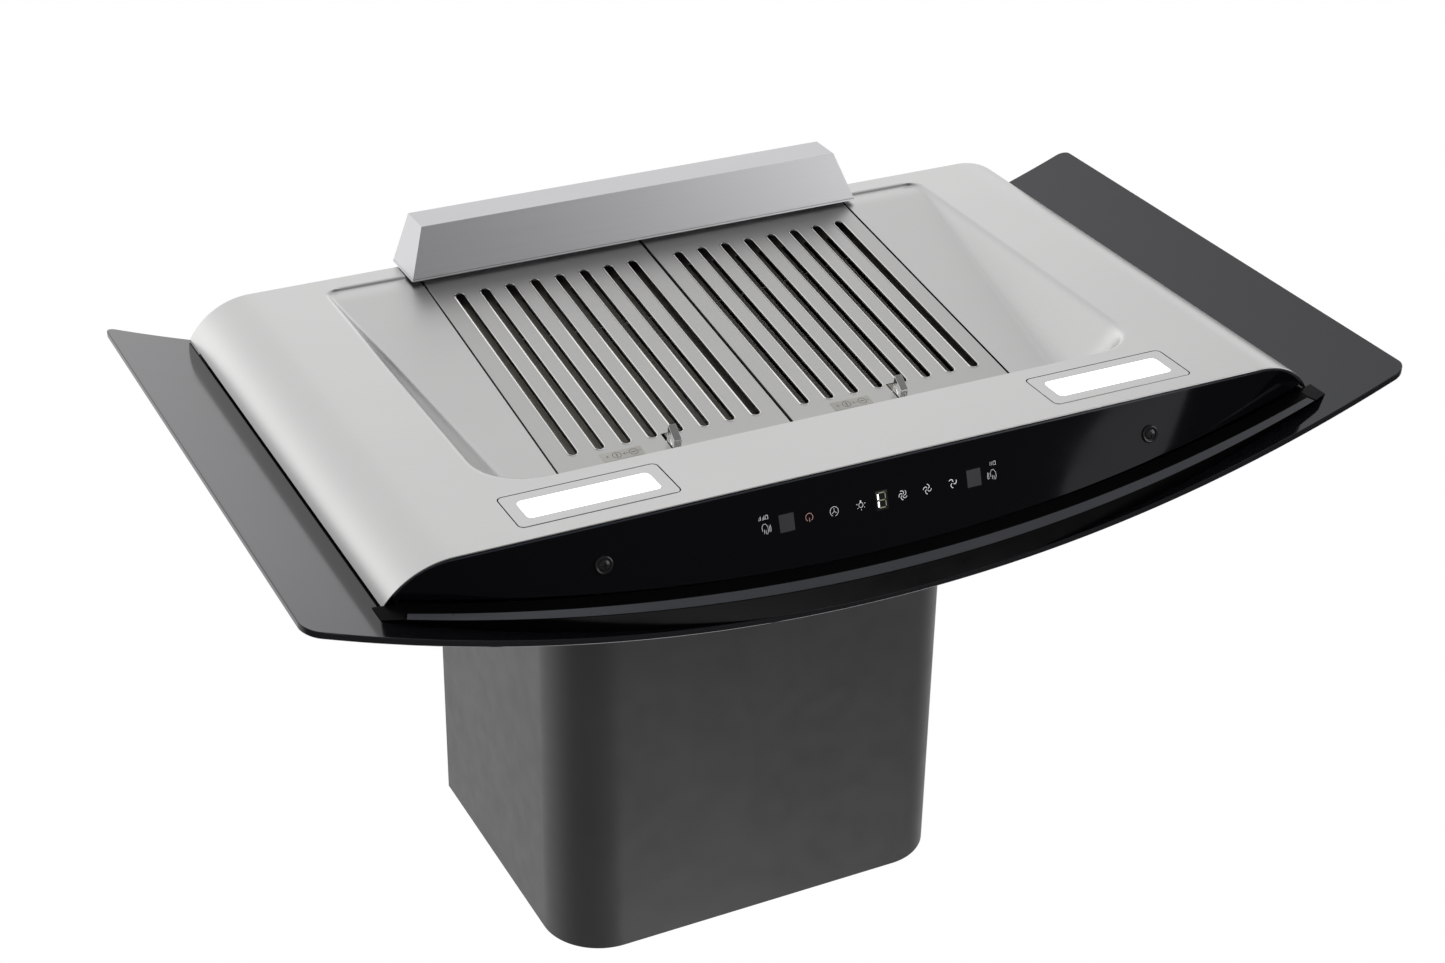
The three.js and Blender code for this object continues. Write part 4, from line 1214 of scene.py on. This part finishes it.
def floor():
    """Plain pale floor, which doesn't show in the gloss of the glass."""
    mesh = bpy.data.meshes.new("floor")
    r = FLOOR_HALF
    mesh.from_pydata([(-r, -r, 0), (r, -r, 0), (r, r, 0), (-r, r, 0)], [], [(0, 1, 2, 3)])
    obj = linked("floor", mesh)
    obj.location.z = FLOOR_Z
    n = Nodes("floor_paint")
    n.colour(n.ramp(n.noise(2), (0.3, 0.82), (0.7, 0.84)))
    n.set(Roughness=0.8, Emission_Color=(1, 1, 1, 1), Emission_Strength=0.3)
    mesh.materials.append(n.material)
    obj.visible_glossy = False


def backdrop():
    """White to the camera; in reflections darker in front of the hood and on its left."""
    sky = bpy.data.worlds.new("studio")
    bpy.context.scene.world = sky
    sky.use_nodes = True
    tree = sky.node_tree
    background = tree.nodes["Background"]
    background.inputs["Color"].default_value = (1, 1, 1, 1)
    link = tree.links.new

    def ranged(source, numbers, kind="SMOOTHSTEP"):
        node = tree.nodes.new("ShaderNodeMapRange")
        node.interpolation_type = kind
        for key, number in zip(("From Min", "From Max", "To Min", "To Max"), numbers):
            node.inputs[key].default_value = number
        link(source, node.inputs["Value"])
        return node.outputs["Result"]

    def times(a, b):
        node = tree.nodes.new("ShaderNodeMath")
        node.operation = "MULTIPLY"
        link(a, node.inputs[0])
        link(b, node.inputs[1])
        return node.outputs["Value"]

    split = tree.nodes.new("ShaderNodeSeparateXYZ")
    link(tree.nodes.new("ShaderNodeTexCoord").outputs["Generated"], split.inputs["Vector"])
    ramp = tree.nodes.new("ShaderNodeValToRGB")
    elements = ramp.color_ramp.elements
    while len(elements) < len(SKY):
        elements.new(0.5)
    for element, (z, level) in zip(elements, SKY):
        element.position = (z + 1) / 2
        element.color = (level, level, level, 1)
    link(ranged(split.outputs["Z"], (-1.0, 1.0, 0.0, 1.0), "LINEAR"), ramp.inputs["Fac"])
    behind = ranged(split.outputs["Y"], (-0.35, 0.45, 0.17, 1.0))
    aside = ranged(split.outputs["X"], (-0.62, -0.5, 0.74, 1.0))
    seen = tree.nodes.new("ShaderNodeMix")
    seen.inputs["B"].default_value = 1.0
    link(tree.nodes.new("ShaderNodeLightPath").outputs["Is Camera Ray"], seen.inputs["Factor"])
    link(times(times(ramp.outputs["Color"], behind), aside), seen.inputs["A"])
    link(seen.outputs["Result"], background.inputs["Strength"])


def lights():
    for name, at, size, watts in LIGHTS:
        lamp = bpy.data.lights.new(name, "AREA")
        lamp.shape = "RECTANGLE"
        lamp.size, lamp.size_y = size
        lamp.energy = watts
        obj = linked(name, lamp)
        obj.location = at
        obj.rotation_mode = "QUATERNION"
        obj.rotation_quaternion = (AIM - Vector(at)).to_track_quat("-Z", "Y")


CAMERA_AT = (0.8483, -1.8718, -1.1661)
CAMERA_ANGLES = (27.007, 29.322, 1.026)  # turn, rise and roll in degrees
CAMERA_LENS = 64.56


def camera():
    """Looks up at the hood from the front and below; its underside is at the top."""
    turn, rise, roll = (math.radians(a) for a in CAMERA_ANGLES)
    forward = Vector((-math.sin(turn) * math.cos(rise), math.cos(turn) * math.cos(rise), math.sin(rise)))
    right = Vector((-math.cos(turn), -math.sin(turn), 0))
    down = forward.cross(right)
    x = right * math.cos(roll) - down * math.sin(roll)
    y = right * math.sin(roll) + down * math.cos(roll)
    data = bpy.data.cameras.new("camera")
    data.sensor_width = 36
    data.lens = CAMERA_LENS
    obj = linked("camera", data)
    axes = Matrix((x, -y, -forward)).transposed()
    obj.matrix_world = Matrix.Translation(CAMERA_AT) @ axes.to_4x4()
    bpy.context.scene.camera = obj
    bpy.context.scene.view_settings.view_transform = "Standard"


camera()
carried_nodes()
glass_canopy()
body_shell()
front_rim()
rim_reflection_strip()
control_panel()
panel_edge_highlight_strip()
touch_symbols()
display()
panel_screws()
lamps()
for side, label in SIDES:
    filter_face(side, label)
    slot_beads(side, label)
    latch(side, label)
    filter_label(side, label)
gap_shade_strips()
oil_tray()
chimney()
outlet_collar()
rear_screws()
floor()
backdrop()
lights()
